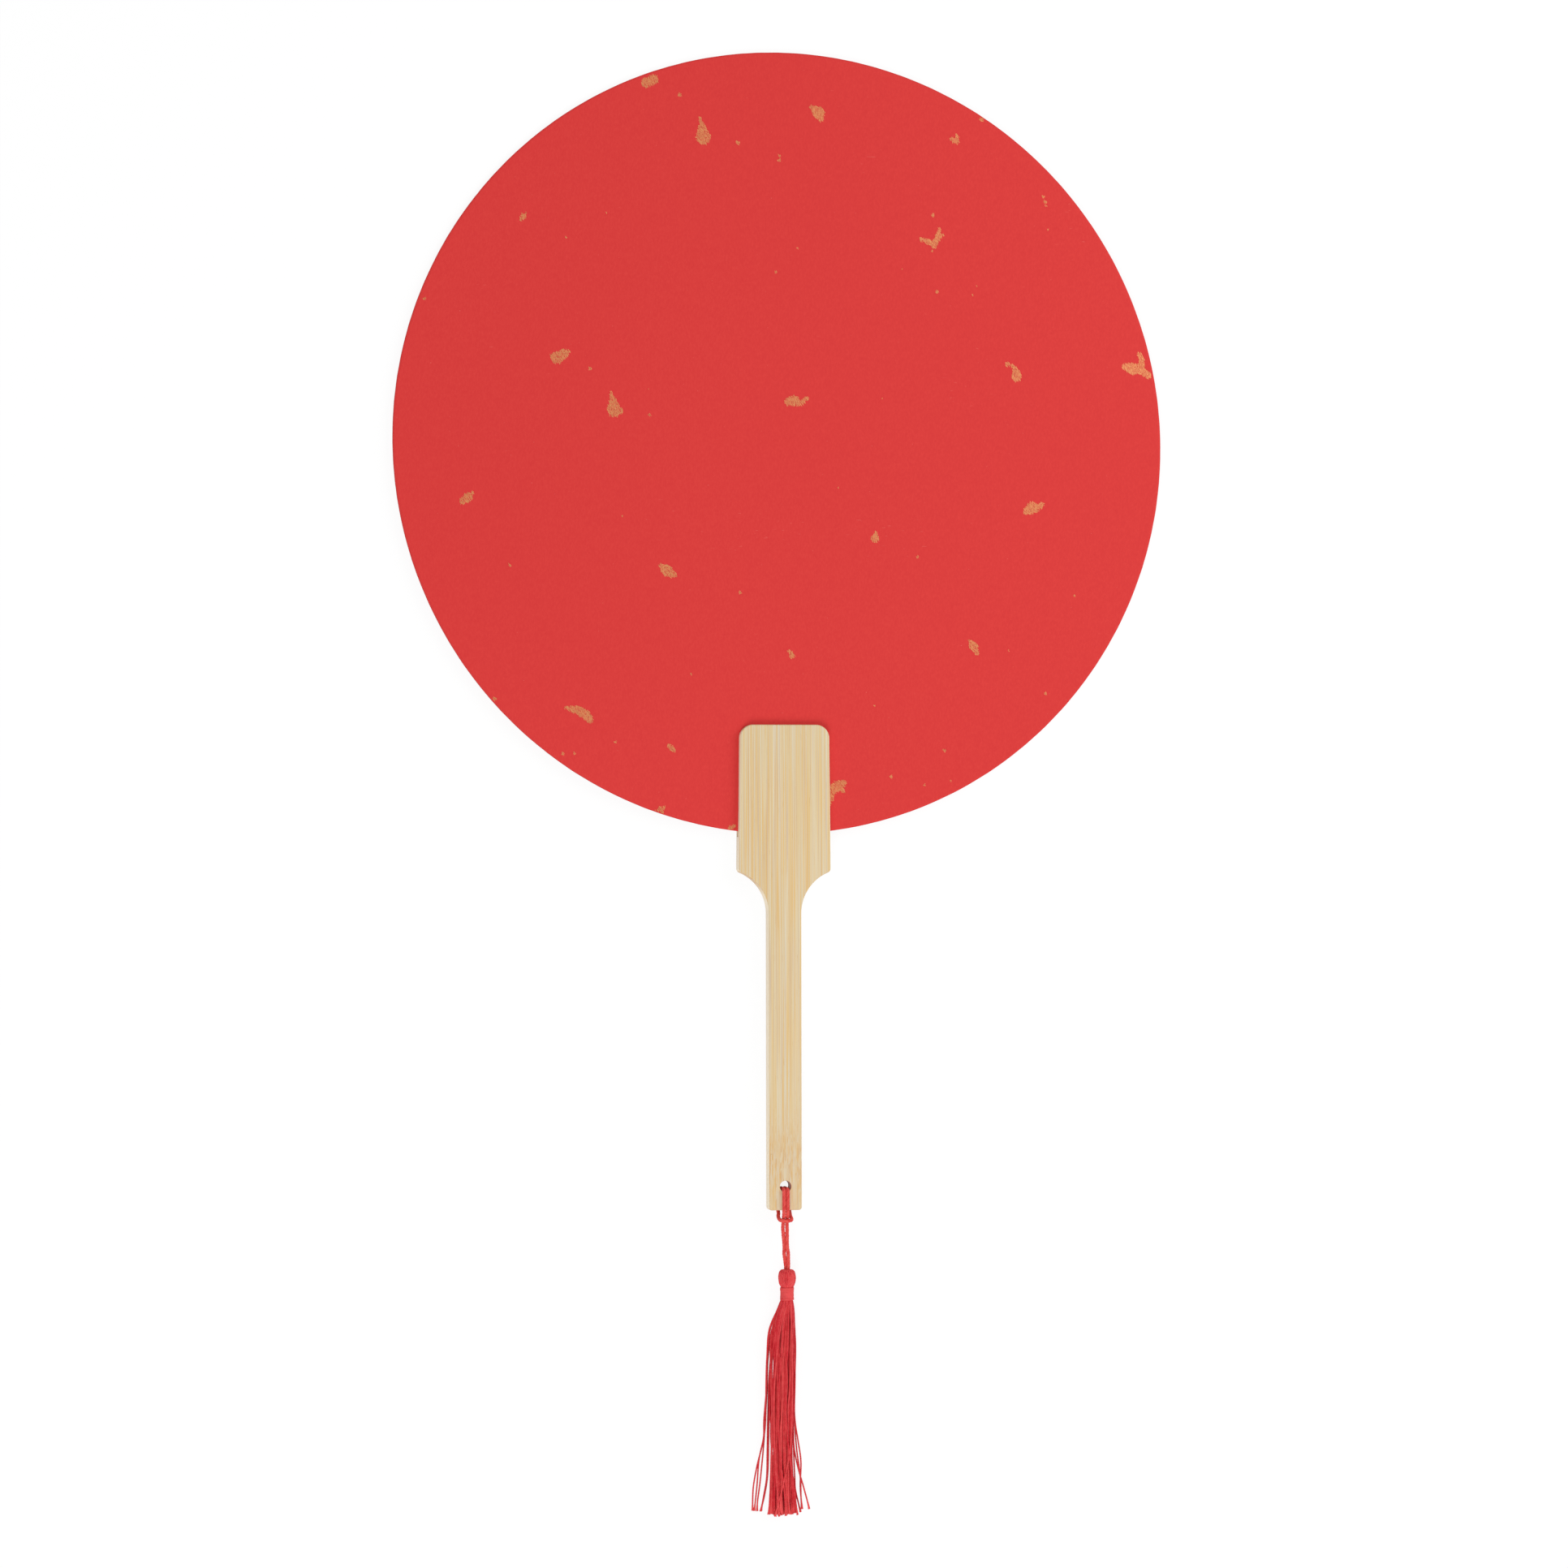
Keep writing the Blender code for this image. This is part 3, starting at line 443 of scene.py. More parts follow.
def bamboo():
    """Strips of fibre along the stick, a node band by the hole, pale side walls with painted light on them,
    and end grain.
    """
    look = Finish("bamboo", (223, 210, 181), roughness=0.5, specular=0.35)

    def fibres(scale, along, side=0, ahead=0, detail=1, up=0.4):
        """Noise drawn out along the handle, from its own place in the noise's space."""
        return look.noise(scale, (1, along, up), (side, ahead, 0), detail)

    swell = fibres(420, 0.05, 2, 6, detail=2)
    streak = fibres(2500, 0.0035, 4, up=0.3)
    fine = fibres(4700, 0.004, 9)
    look.coat(fibres(420, 0.008, up=0.35), 0.35, 0.65, 1, 225, 204, 161)
    look.coat(fibres(3600, 0.004, 13), 0.5, 0.6, 0.6, 229, 214, 184)
    honey = look.times(look.spread(streak, 0.5, 0.58), look.spread(swell, 0.3, 0.7, 0.35, 0.95))
    look.wash(honey, 228, 186, 116)
    look.coat(fine, 0.52, 0.62, 0.6, 230, 194, 130)
    look.coat(fibres(4300, 0.004, 17), 0.56, 0.64, 0.6, 206, 176, 150)
    look.coat(fibres(5200, 0.035, 25, 3), 0.68, 0.76, 0.5, 212, 164, 100)
    straight = look.tone

    # Near the node the strips break up into dashes
    lines = fibres(4300, 0.007, 33, 1)
    cuts = fibres(2300, 0.1, 35, 4)
    more = fibres(5200, 0.01, 37, 1)
    breaks = fibres(2600, 0.14, 39, 2)
    look.tone = colour(224, 206, 174)
    look.coat(fibres(900, 0.12, 45, 2, detail=2), 0.4, 0.6, 1, 222, 198, 158)
    long_dashes = (lines, 0.46, 0.55), (cuts, 0.42, 0.54, 0, 0.85), (224, 178, 110)
    short_dashes = (more, 0.48, 0.57), (breaks, 0.48, 0.58, 0, 0.8), (214, 166, 106)
    ashen = (more, 0.36, 0.45, 1, 0), (cuts, 0.44, 0.56, 0.6, 0), (208, 182, 158)
    for strips, gaps, rgb in (long_dashes, short_dashes, ashen):
        look.wash(look.times(look.spread(*strips), look.spread(*gaps)), *rgb)
    along = look.axes(look.place())[1]
    node_band = look.times(look.spread(along, HOLE_Y - 3 * MM, HOLE_Y + 4 * MM),
                           look.spread(along, HOLE_Y + 9 * MM, HOLE_Y + 21 * MM, 1, 0))
    near_tail = look.spread(along, HOLE_Y + 12 * MM, HOLE_Y + 34 * MM, 1, 0)
    by_node = look.mix(look.times(node_band, 0.85), straight, look.tone)
    look.tone = look.mix(look.times(near_tail, 0.45), by_node, look.tone)
    pore = look.spread(fibres(2300, 0.45, 41, up=0.5), 0.76, 0.8, 0, 0.7)
    look.wash(look.times(pore, node_band), 132, 98, 66)

    # Side walls, pale and painted brighter still as painted light, end grain and the drilled wall
    facing = look.axes(look.node("NewGeometry", {})["Normal"])
    # Painted light: the pale cut side walls are painted brighter than their own tone, to make up for the
    # light they get less of.
    look.coat(look.maths("ABSOLUTE", facing[0]), 0.55, 0.95, 0.85, 255, 240, 214)
    end = look.spread(look.maths("ABSOLUTE", facing[1]), 0.35, 0.8, 0, 0.8)
    grain = look.spread(fibres(4600, 0.2, 50, detail=2, up=0.8), 0.4, 0.7)
    end_tone = look.mix(grain, colour(222, 190, 150), colour(196, 152, 112))
    look.tone = look.mix(end, look.tone, end_tone)
    # The hole's wall is painted a darker reddish brown than the face.
    across_hole = look.place((1, 1, 0), (0, -HOLE_Y, 0))
    from_hole = look.node("VectorMath", {0: across_hole}, operation="LENGTH")["Value"]
    wall = HOLE_DIAMETER / 2
    look.wash(look.spread(from_hole, wall, wall + 0.08 * MM, 0.9, 0), 205, 116, 74)
    look.set("Roughness", look.spread(streak, 0.4, 0.7, 0.56, 0.42))
    return look.done(look.maths("ADD", streak, look.times(fine, 0.5)), 0.03 * MM, 0.8)


def red_thread(name, deep, bright, roughness):
    """Twisted yarn: tone differs from thread to thread, fine fibres follow the twist, and shade is painted
    where the plies dip.
    """
    look = Finish(name, deep, roughness, specular=0.12)
    groove = look.attribute("groove")
    fibre = look.noise(2.4, detail=3, rough=0.65, point=look.attribute("yarn", "Vector"))
    fuzz_and_glint = look.noise(5200, rough=0.7)
    patch = look.noise(700, offset=(7, 0, 0), rough=0.6)
    light = look.attribute("tone")
    # Lightness of the yarn, lowered by the painted shade where the plies dip.
    for change in ((patch, 0.3, 0.7, -0.16, 0.16), (fibre, 0.35, 0.7, -0.22, 0.3),
                   (fuzz_and_glint, 0.3, 0.75, -0.1, 0.16), (groove, 0.3, 1, 0, -0.3)):
        light = look.maths("ADD", light, look.spread(*change))
    look.wash(light, *bright)
    # Painted highlight: pale glints where the fine fibre noise peaks.
    look.coat(fuzz_and_glint, 0.58, 0.78, 0.5, 250, 132, 120)
    # Painted shade: a deep red where the plies dip.
    look.coat(groove, 0.5, 1, 0.4, 176, 26, 36)
    look.set("Sheen Weight", 0.08)
    look.set("Sheen Roughness", 0.45)
    look.set("Sheen Tint", colour(255, 110, 100))
    height = look.maths("ADD", look.times(fibre, 0.7), look.times(fuzz_and_glint, 0.5))
    return look.done(height, 0.04 * MM, 0.8)


def floor_white():
    """A pale floor that the camera sees as white, with part of the object's shadow kept."""
    made = bpy.data.materials.new("pale_floor")
    made.use_nodes = True
    tree = made.node_tree
    tree.nodes.clear()
    rays = add_node(tree, "LightPath", {})
    seen = add_node(tree, "Math", {0: rays["Is Camera Ray"], 1: rays["Is Glossy Ray"]},
                    operation="MAXIMUM")[0]
    share = add_node(tree, "Math", {0: seen, 1: 0.86}, operation="MULTIPLY")[0]
    paint = add_node(tree, "BsdfDiffuse", {"Color": (0.86, 0.86, 0.86, 1)})[0]
    white = add_node(tree, "Emission", {"Strength": 1.04})[0]
    both = add_node(tree, "MixShader", {0: share, 1: paint, 2: white})[0]
    add_node(tree, "OutputMaterial", {"Surface": both})
    return made


def add_object(name, data, place=Matrix()):
    """Links a new object with its mesh, lamp or camera into the scene."""
    made = bpy.data.objects.new(name, data)
    made.matrix_world = place
    bpy.context.scene.collection.objects.link(made)
    return made


def add_piece(name, mesh, finish, place=Matrix()):
    mesh.materials.clear()
    mesh.materials.append(finish)
    return add_object(name, mesh, place)


class Mesh:
    """Points and faces of one piece, with values named on each point."""

    def __init__(self):
        self.verts = []
        self.faces = []
        self.values = {}

    def add(self, verts, faces, **values):
        start = len(self.verts)
        self.verts += verts
        self.faces += [tuple(start + index for index in face) for face in faces]
        for name, value in values.items():
            listed = value if isinstance(value, list) else [value] * len(verts)
            self.values.setdefault(name, []).extend(listed)

    def build(self, name, finish, place=Matrix()):
        mesh = bpy.data.meshes.new(name)
        mesh.from_pydata(self.verts, [], self.faces)
        for value_name, values in self.values.items():
            if isinstance(values[0], tuple):
                layer = mesh.attributes.new(value_name, "FLOAT_VECTOR", "POINT")
                layer.data.foreach_set("vector", [part for value in values for part in value])
            else:
                mesh.attributes.new(value_name, "FLOAT", "POINT").data.foreach_set("value", values)
        mesh.shade_smooth()
        mesh.set_sharp_from_angle(angle=radians(60))
        return add_piece(name, mesh, finish, place)


def dress(piece, body, slot, *nodes):
    """Lets a piece ride on a body in place of CAD nodes; its slot is not used."""
    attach(piece, body)
    if nodes:
        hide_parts(*nodes)
    return piece


def ripple(*place):
    """Smooth noise between -1 and 1."""
    return noise.noise(Vector(place))


def ease(share):
    share = min(max(share, 0), 1)
    return share * share * (3 - 2 * share)


def distances(route):
    """How far along the route each of its points lies."""
    return list(accumulate(((end - start).length for start, end in zip(route, route[1:])), initial=0))


def smooth_route(points, step):
    """Evenly spaced points, about a step apart, on one smooth curve through the given ones."""
    points = [Vector(point) for point in points]
    padded = [points[0], *points, points[-1]]
    fine = []
    for before, start, end, after in zip(padded, padded[1:], padded[2:], padded[3:]):
        first_handle = start + (end - before) / 6
        second_handle = end - (after - start) / 6
        fine += interpolate_bezier(start, first_handle, second_handle, end, 24)[:-1]
    fine.append(points[-1])
    travelled = distances(fine)
    count = max(int(travelled[-1] / step), 2)
    even = []
    index = 0
    for number in range(count + 1):
        target = travelled[-1] * number / count
        while index < len(fine) - 2 and travelled[index + 1] < target:
            index += 1
        share = (target - travelled[index]) / (travelled[index + 1] - travelled[index])
        even.append(fine[index].lerp(fine[index + 1], share))
    return even


def carried_frames(route):
    """At each point of a route, two directions across it that turn as little as they can."""
    frames = []
    first = (route[1] - route[0]).normalized().orthogonal().normalized()
    for before, after in zip([route[0], *route], [*route[1:], route[-1]]):
        ahead = (after - before).normalized()
        first = (first - ahead * first.dot(ahead)).normalized()
        frames.append((first, ahead.cross(first)))
    return frames


def around(frame, angle):
    """Direction across a route, at an angle round it."""
    return frame[0] * cos(angle) + frame[1] * sin(angle)


def tube_faces(rings, sides):
    """Faces of a closed tube made of so many rings."""
    faces = []
    for lower in range(0, (rings - 1) * sides, sides):
        for side in range(sides):
            after = (side + 1) % sides
            faces.append((lower + side, lower + after, lower + sides + after, lower + sides + side))
    return [*faces, tuple(range(sides))[::-1], tuple(range((rings - 1) * sides, rings * sides))]


def tube(route, radius, sides, twist=None, depth=0, phase=0):
    """Points of a tube, the painted shade at each point where its section dips, and its place on the yarn.

    With a twist, the tube's section has two plies that turn along it.
    """
    verts = []
    groove_shades = []
    yarn = []
    for index, (point, frame, travelled) in enumerate(zip(route, carried_frames(route), distances(route))):
        size = radius(index / (len(route) - 1)) if callable(radius) else radius
        turned = phase + (tau * travelled / twist if twist else 0)
        for side in range(sides):
            angle = tau * side / sides
            dip = 0.5 - 0.5 * cos(2 * (angle - turned)) if twist else 0
            verts.append(point + around(frame, angle) * (size * (1 - depth * dip)))
            # Painted shade: this value darkens the colour where the section dips between the plies.
            groove_shades.append(0.7 * dip ** 3)
            along = travelled * YARN_FIBRE_RATE + phase * YARN_PHASE_SHIFT
            yarn.append((cos(angle - turned), sin(angle - turned), along))
    return verts, groove_shades, yarn


def add_tube(mesh, route, radius, sides, tone, **twist):
    """Adds a tube whose tone is one number, or goes by the share of the way along it."""
    verts, groove_shades, yarn = tube(route, radius, sides, **twist)
    if callable(tone):
        tone = [tone(index // sides / (len(route) - 1)) for index in range(len(verts))]
    mesh.add(verts, tube_faces(len(route), sides), tone=tone, groove=groove_shades, yarn=yarn)


def plied_cord(route, stretches):
    """A cord of right-handed plies, each a fat soft yarn, with shade painted darker where it dips between
    the others.

    Each stretch is the mesh that it goes into, and the first and last place of it on the route.
    """
    chance = random.Random(3)
    frames = carried_frames(route)
    travelled = distances(route)
    for number in range(CORD_PLIES):
        winding = [point + around(frame, tau * (along / CORD_TWIST + number / CORD_PLIES)) * PLY_REACH
                   for point, frame, along in zip(route, frames, travelled)]
        verts, _, yarn = tube(winding, PLY_RADIUS, PLY_SIDES, phase=chance.uniform(0, tau))
        tone = chance.uniform(0.35, 0.75)
        groove_shades = []
        # Painted shade: darker where the ply dips in between the others.
        for index, vert in enumerate(verts):
            dip = PLY_RADIUS + PLY_REACH - (vert - route[index // PLY_SIDES]).length
            groove_shades.append(min(max(dip / PLY_GROOVE_DEPTH, 0), 1))
        for mesh, first, last in stretches:
            rings = slice(first * PLY_SIDES, (last + 1) * PLY_SIDES)
            mesh.add(verts[rings], tube_faces(last - first + 1, PLY_SIDES), tone=tone,
                     groove=groove_shades[rings], yarn=yarn[rings])


def half_hitch_route(side, leg, bulge):
    """One side of the cord: over the front, down the hole, along the back, up round the end."""
    inner = side * STRAND_OFFSET
    outer = side * leg
    widest = side * bulge
    bight_z = FRONT_CORD_Z - STRAND_DROP_AT_BIGHT + CORD_DIAMETER + CORD_CLEARANCE
    bight_y = TAIL_Y - BIGHT_REACH
    from_knot = sqrt((PAIR_HALF_WIDTH + JOINT_GAP + CORD_RADIUS) ** 2 - STRAND_OFFSET ** 2)
    through_hole = [
        (2.6 * MM, FRONT_CORD_Z), (1.6 * MM, FRONT_CORD_Z), (1.08 * MM, HANDLE_THICKNESS + 0.35 * MM),
        (0.88 * MM, HANDLE_THICKNESS - 0.5 * MM), (0.85 * MM, HANDLE_THICKNESS / 2),
        (0.88 * MM, 0.5 * MM), (1.08 * MM, -0.35 * MM), (1.6 * MM, BACK_CORD_Z),
    ]
    return [
        (inner, KNOT_Y + from_knot, FRONT_CORD_Z - 1.15 * STRAND_DROP_AT_BIGHT),
        (inner, TAIL_Y - 1.6 * MM, FRONT_CORD_Z - 0.42 * STRAND_DROP_AT_BIGHT),
        (inner, TAIL_Y + 0.2 * MM, FRONT_CORD_Z),
        (inner, TAIL_Y + 2.4 * MM, FRONT_CORD_Z),
        *[(inner, HOLE_Y - back, height) for back, height in through_hole],
        (inner * 1.2, HOLE_Y - 2.6 * MM, BACK_CORD_Z),
        (outer * 0.8, TAIL_Y + 2.2 * MM, BACK_CORD_Z),
        (outer, TAIL_Y + 0.1 * MM, BACK_CORD_Z),
        (outer, TAIL_Y - 1.3 * MM, 0.6 * MM),
        (widest * 0.97, TAIL_Y - 2 * MM, HANDLE_THICKNESS / 2),
        (widest, TAIL_Y - 2.75 * MM, bight_z - 1.5 * MM),
        (widest * 0.8, bight_y + 0.2 * MM, bight_z - 0.2 * MM),
        (side * 0.35 * MM, bight_y, bight_z),
    ]


def free_strand(side, knot, head):
    """Places of a strand between the hitch and the tassel, from the hitch."""
    places = []
    for share, out, lift in FREE_STRANDS:
        sag = STRAND_SAG * sin(pi * share)
        places.append(knot.lerp(head, share) + Vector((side * out * MM, 0, side * lift * MM - sag)))
    return places


def tassel_point(head, back, radius=0, angle=0):
    """A place by the tassel's axis: metres back from its joint, out from the axis and round it."""
    return head + Vector((radius * cos(angle), -back, radius * sin(angle)))


def end_in_ball(side, head):
    """Places of a strand inside the ball, wound round the other one as the stopper knot."""
    places = [head + Vector((side * 0.3 * MM, -0.9 * MM, side * 0.42 * MM)),
              head + Vector((side * 0.4 * MM, -1.9 * MM, side * 0.3 * MM))]
    for step in range(1, 10):
        angle = tau * step / 8 + (0 if side > 0 else pi)
        places.append(tassel_point(head, 1.9 * MM + 0.22 * MM * step, 0.8 * MM, angle))
    return places


def build_cord(knot, head, finish):
    """The whole cord: out of the tassel, through the hole, round itself and back again.

    It is cut just outside the ball into a long piece and its two ends.
    """
    lie = fan_lie()
    left = [lie @ Vector(point) for point in half_hitch_route(-1, *BIGHT_LEFT)]
    right = [lie @ Vector(point) for point in half_hitch_route(1, *BIGHT_RIGHT)]
    before = end_in_ball(-1, head)[::-1] + free_strand(-1, knot, head)[::-1] + left
    after = right[::-1] + free_strand(1, knot, head) + end_in_ball(1, head)
    route = smooth_route(before + after, PLY_STEP)
    outside = [index for index, place in enumerate(route) if place.y > head.y + CORD_CUT]
    first = outside[0]
    last = outside[-1]
    long_mesh = Mesh()
    end_mesh = Mesh()
    plied_cord(route, [(long_mesh, first, last), (end_mesh, 0, first), (end_mesh, last, len(route) - 1)])
    cord = long_mesh.build("tassel_cord", finish)
    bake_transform(cord)
    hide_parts("cord_hitch", "cord_strand_left", "cord_strand_right")
    ends = end_mesh.build("cord_ends", finish)
    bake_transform(ends)
    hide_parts("stopper_knot")
    length = sum((end - start).length for start, end in zip(route, route[1:]) if end.y > head.y)
    return cord, ends, route[first:last + 1], length


def read_outline(outline, at):
    """Values of an outline's columns at a place between its rows, joined by a smooth curve."""
    row = 0
    while row < len(outline) - 2 and outline[row + 1][0] < at:
        row += 1
    rows = [outline[min(max(row + step, 0), len(outline) - 1)] for step in (-1, 0, 1, 2)]
    before, start, end, after = [cells[0] for cells in rows]
    width = end - start
    share = min(max((at - start) / width, 0), 1)
    values = []
    for first, low, high, last in list(zip(*rows))[1:]:
        slope_in = (high - first) / (end - before) * share * (1 - share) ** 2
        slope_out = (last - low) / (after - start) * share * share * (share - 1)
        values.append(low + (high - low) * ease(share) + (slope_in + slope_out) * width)
    return values


def ridge_radius(share):
    """A thread of the ball, thinner where it comes out of the cord's mouth."""
    return BALL_TUBE_RADIUS * (0.62 + 0.38 * ease(share / 0.25))


def build_ball(head, finish):
    """Threads folded over the knot: ridges from the cord's mouth to the neck, on a core given the darkest
    tone as painted shade between them.
    """
    mesh = Mesh()
    chance = random.Random(5)
    for number in range(BALL_THREADS + BALL_UNDER_THREADS):
        under = number >= BALL_THREADS
        count = BALL_UNDER_THREADS if under else BALL_THREADS
        start = tau * (number + chance.uniform(-0.3, 0.3)) / count
        lift = chance.uniform(-0.1, 0.05) * MM - (0.15 * MM if under else 0)
        places = []
        for step, (back, radius) in enumerate(BALL_OUTLINE):
            share = step / (len(BALL_OUTLINE) - 1)
            angle = start + BALL_SWIRL * share + 0.16 * ripple(number * 1.7, share * 4.5, 0)
            dip = 0.13 * MM * ripple(number * 2.9, share * 9, 4)
            reach = radius * MM - BALL_TUBE_RADIUS + lift + dip
            places.append(tassel_point(head, BALL_TOP + back * MM, reach, angle))
        add_tube(mesh, smooth_route(places, BALL_STEP), ridge_radius, 10, chance.uniform(0.38, 1.03),
                 twist=THREAD_TWIST * 0.8, depth=0.14, phase=chance.uniform(0, tau))
    ball = dress(mesh.build("tassel_ball", finish), "head", "red_thread", "tassel_head")

    core = Mesh()
    length = WRAP_END - BALL_TOP
    places = [tassel_point(head, BALL_TOP + CORE_INSET + length * step / 40) for step in range(41)]
    outline = sorted(BALL_OUTLINE[2:])

    def core_radius(share):
        outside = read_outline(outline, (CORE_INSET + length * share) / MM)[0] * MM
        return max(outside - 1.5 * BALL_TUBE_RADIUS, 0.2 * MM)

    # Painted shade: the packing takes the darkest tone, standing in for the shade between the ridges.
    add_tube(core, places, core_radius, 28, 0)
    return ball, dress(core.build("tassel_packing", finish), "head", "red_thread")


def winding(head, turns, from_back, to_back, radius, seed):
    """Route of a thread wound round the neck, its turns a little uneven, its ends at the back."""
    places = []
    steps = int(turns * 32)
    for step in range(steps + 1):
        share = step / steps
        slip = 0.2 * MM * ripple(share * turns * 1.1, seed, 5)
        sway = 0.06 * MM * ripple(share * turns * 2.3, seed, 0)
        reach = radius - WRAP_WAIST * sin(pi * share) + sway
        back = from_back + (to_back - from_back) * share + slip
        places.append(tassel_point(head, back, reach, tau * turns * share - pi / 2))
    return smooth_route(places, WRAP_STEP)


def build_wrap(head, finish):
    """One thread wound round the neck and back over itself in a few loose turns."""
    mesh = Mesh()
    first = WRAP_TOP + 0.15 * MM
    last = WRAP_END - 0.15 * MM
    radius = WRAP_DIAMETER / 2 - WRAP_TUBE_RADIUS
    tight = winding(head, WRAP_TURNS, first, last, radius, 1.3)
    loose = winding(head, WRAP_LOOSE_TURNS, last - 0.3 * MM, first + 0.2 * MM, radius + 0.07 * MM, 2.9)
    for route, tone in ((tight, 0.74), (loose, 1.04)):
        add_tube(mesh, route, WRAP_TUBE_RADIUS, 8, tone, twist=WRAP_TWIST, depth=0.1)
    return dress(mesh.build("neck_winding", finish), "head", "red_thread", "neck_wrap")


def skirt_place(head, cell, back, number, pull):
    """Centre of a skirt thread, given its place in the bundle and how far back it is."""
    left, right, low, high = read_outline(SKIRT_OUTLINE, (back - WRAP_END) / MM)
    run = max((back - WRAP_END) / SKIRT_LENGTH, 0)
    gather = 0.55 * ease((run - 0.55) / 0.45)
    across, up = (own + (shared - own) * gather for own, shared in zip(cell, pull))
    wander = SKIRT_WANDER * ease(run * 4)
    x = (left + right) / 2 * MM + across * (right - left) / 2 * MM
    x += wander * 1.6 * ripple(number * 2.37, run * 3.4, 0)
    x += wander * 0.3 * ripple(number * 3.1, run * 15, 2)
    z = (low + high) / 2 * MM + up * (high - low) / 2 * MM
    z += wander * 0.7 * ripple(number * 2.37, run * 3.4, 9)
    return Vector((x, head.y - back, max(z, THREAD_WIDTH * 0.56)))


def thread_radius(share):
    """Even thread that spreads before its cut end."""
    spread = 0.3 * ease((share - 0.965) / 0.025)
    return THREAD_WIDTH / 2 * (1.06 + spread - 0.45 * ease((share - 0.993) / 0.007))


def add_thread(mesh, places, tone, chance):
    """One thread of the skirt, its end brighter and frayed into a few fibres."""
    route = smooth_route(places, THREAD_STEP)

    def thread_tone(share):
        return tone + 0.35 * ease((share - 0.93) / 0.07)

    add_tube(mesh, route, thread_radius, 8, thread_tone, twist=THREAD_TWIST * chance.uniform(0.9, 1.15),
             depth=0.1, phase=chance.uniform(0, tau))
    end = route[-1]
    ahead = (end - route[-4]).normalized()
    across = ahead.orthogonal().normalized()
    for number in range(FRAY_FIBRES):
        turned = tau * (number + chance.uniform(-0.3, 0.3)) / FRAY_FIBRES
        side = Matrix.Rotation(turned, 3, ahead) @ across
        root = end - ahead * FRAY_LENGTH + side * THREAD_WIDTH * 0.3
        tip = end + ahead * chance.uniform(-0.12, 0.1) * MM
        tip += side * THREAD_WIDTH * chance.uniform(0.55, 0.85)
        middle = root.lerp(tip, 0.55) + side * chance.uniform(-0.03, 0.06) * MM
        fibre = [Vector((place.x, place.y, max(place.z, FRAY_RADIUS))) for place in (root, middle, tip)]
        add_tube(mesh, smooth_route(fibre, FRAY_LENGTH / 5), FRAY_RADIUS, 5, tone + chance.uniform(0.2, 0.5))


def bundle_cell(number, count, chance):
    """Place of a thread in the round bundle, -1 to 1 across and up."""
    reach = sqrt((number + 0.5) / count)
    angle = number * GOLDEN_TURN + chance.uniform(-0.25, 0.25)
    return (reach * cos(angle), reach * sin(angle))


def build_skirt(head, finish):
    chance = random.Random(8)
    tufts = [bundle_cell(number, SKIRT_TUFTS, chance) for number in range(SKIRT_TUFTS)]
    tuft_ends = [chance.uniform(0.1 * MM, 0.9 * MM) for _ in tufts]
    mesh = Mesh()
    inside = WRAP_END - SKIRT_HIDDEN_LENGTH
    for number in range(SKIRT_THREADS):
        cell = bundle_cell(number, SKIRT_THREADS, chance)
        tuft = min(range(SKIRT_TUFTS), key=lambda index: dist(tufts[index], cell))
        end = SKIRT_END - tuft_ends[tuft] - chance.uniform(0.1 * MM, THREAD_RAGGED) * chance.random()
        places = []
        for step in range(31):
            back = inside + (end - inside) * (step / 30) ** 1.25
            places.append(skirt_place(head, cell, back, number, tufts[tuft]))
        # Painted shade: threads low in the bundle get a darker tone, and high ones a lighter one.
        add_thread(mesh, places, chance.uniform(0.05, 0.7) + 0.12 * cell[1], chance)
    for stray in STRAYS:
        side = pi if stray[0][1] < 1.2 else 0
        places = [tassel_point(head, inside, SKIRT_HIDDEN_RADIUS, side)]
        places += [Vector((across * MM, head.y - SKIRT_END + from_end * MM, up * MM))
                   for from_end, across, up in stray]
        add_thread(mesh, places, chance.uniform(0.3, 0.6), chance)
    skirt = mesh.build("skirt_threads", finish)
    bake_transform(skirt)
    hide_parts("tassel_skirt")


def arc(centre_x, centre_y, radius, start, end, steps):
    """Points along an arc, its start and end given in degrees."""
    turns = [radians(start + (end - start) * step / steps) for step in range(steps + 1)]
    return [(centre_x + radius * cos(turn), centre_y + radius * sin(turn)) for turn in turns]


def handle_side():
    """The right half of the handle's outline, from the head's top edge to the tail."""
    flare_x = STICK_WIDTH / 2 + FLARE_RADIUS
    flare_y = TAIL_Y + STICK_LENGTH
    shoulder_x = HEAD_BOTTOM_WIDTH / 2 - SHOULDER_RADIUS
    across = flare_x - shoulder_x
    down = sqrt((FLARE_RADIUS + SHOULDER_RADIUS) ** 2 - across ** 2)
    meeting = degrees(atan2(down, across))
    top_x = HEAD_TOP_WIDTH / 2 - HEAD_CORNER_RADIUS
    tail_x = STICK_WIDTH / 2 - TAIL_CORNER_RADIUS
    side = arc(top_x, -HEAD_CORNER_RADIUS, HEAD_CORNER_RADIUS, 90, 0, 14)
    side += arc(shoulder_x, flare_y + down, SHOULDER_RADIUS, 0, -meeting, 8)
    side += arc(flare_x, flare_y, FLARE_RADIUS, 180 - meeting, 180, 24)[1:]
    side += arc(tail_x, TAIL_Y + TAIL_CORNER_RADIUS, TAIL_CORNER_RADIUS, 0, -90, 7)
    return side


def add_prism(name, outline, bottom, top):
    """An object for a closed prism with the given XY outline between two heights."""
    shape = bmesh.new()
    base = shape.faces.new([shape.verts.new((x, y, bottom)) for x, y in outline])
    sides = bmesh.ops.extrude_face_region(shape, geom=[base])
    raised = [item for item in sides["geom"] if isinstance(item, bmesh.types.BMVert)]
    bmesh.ops.translate(shape, verts=raised, vec=(0, 0, top - bottom))
    bmesh.ops.recalc_face_normals(shape, faces=shape.faces)
    mesh = bpy.data.meshes.new(name)
    shape.to_mesh(mesh)
    shape.free()
    return add_object(name, mesh)


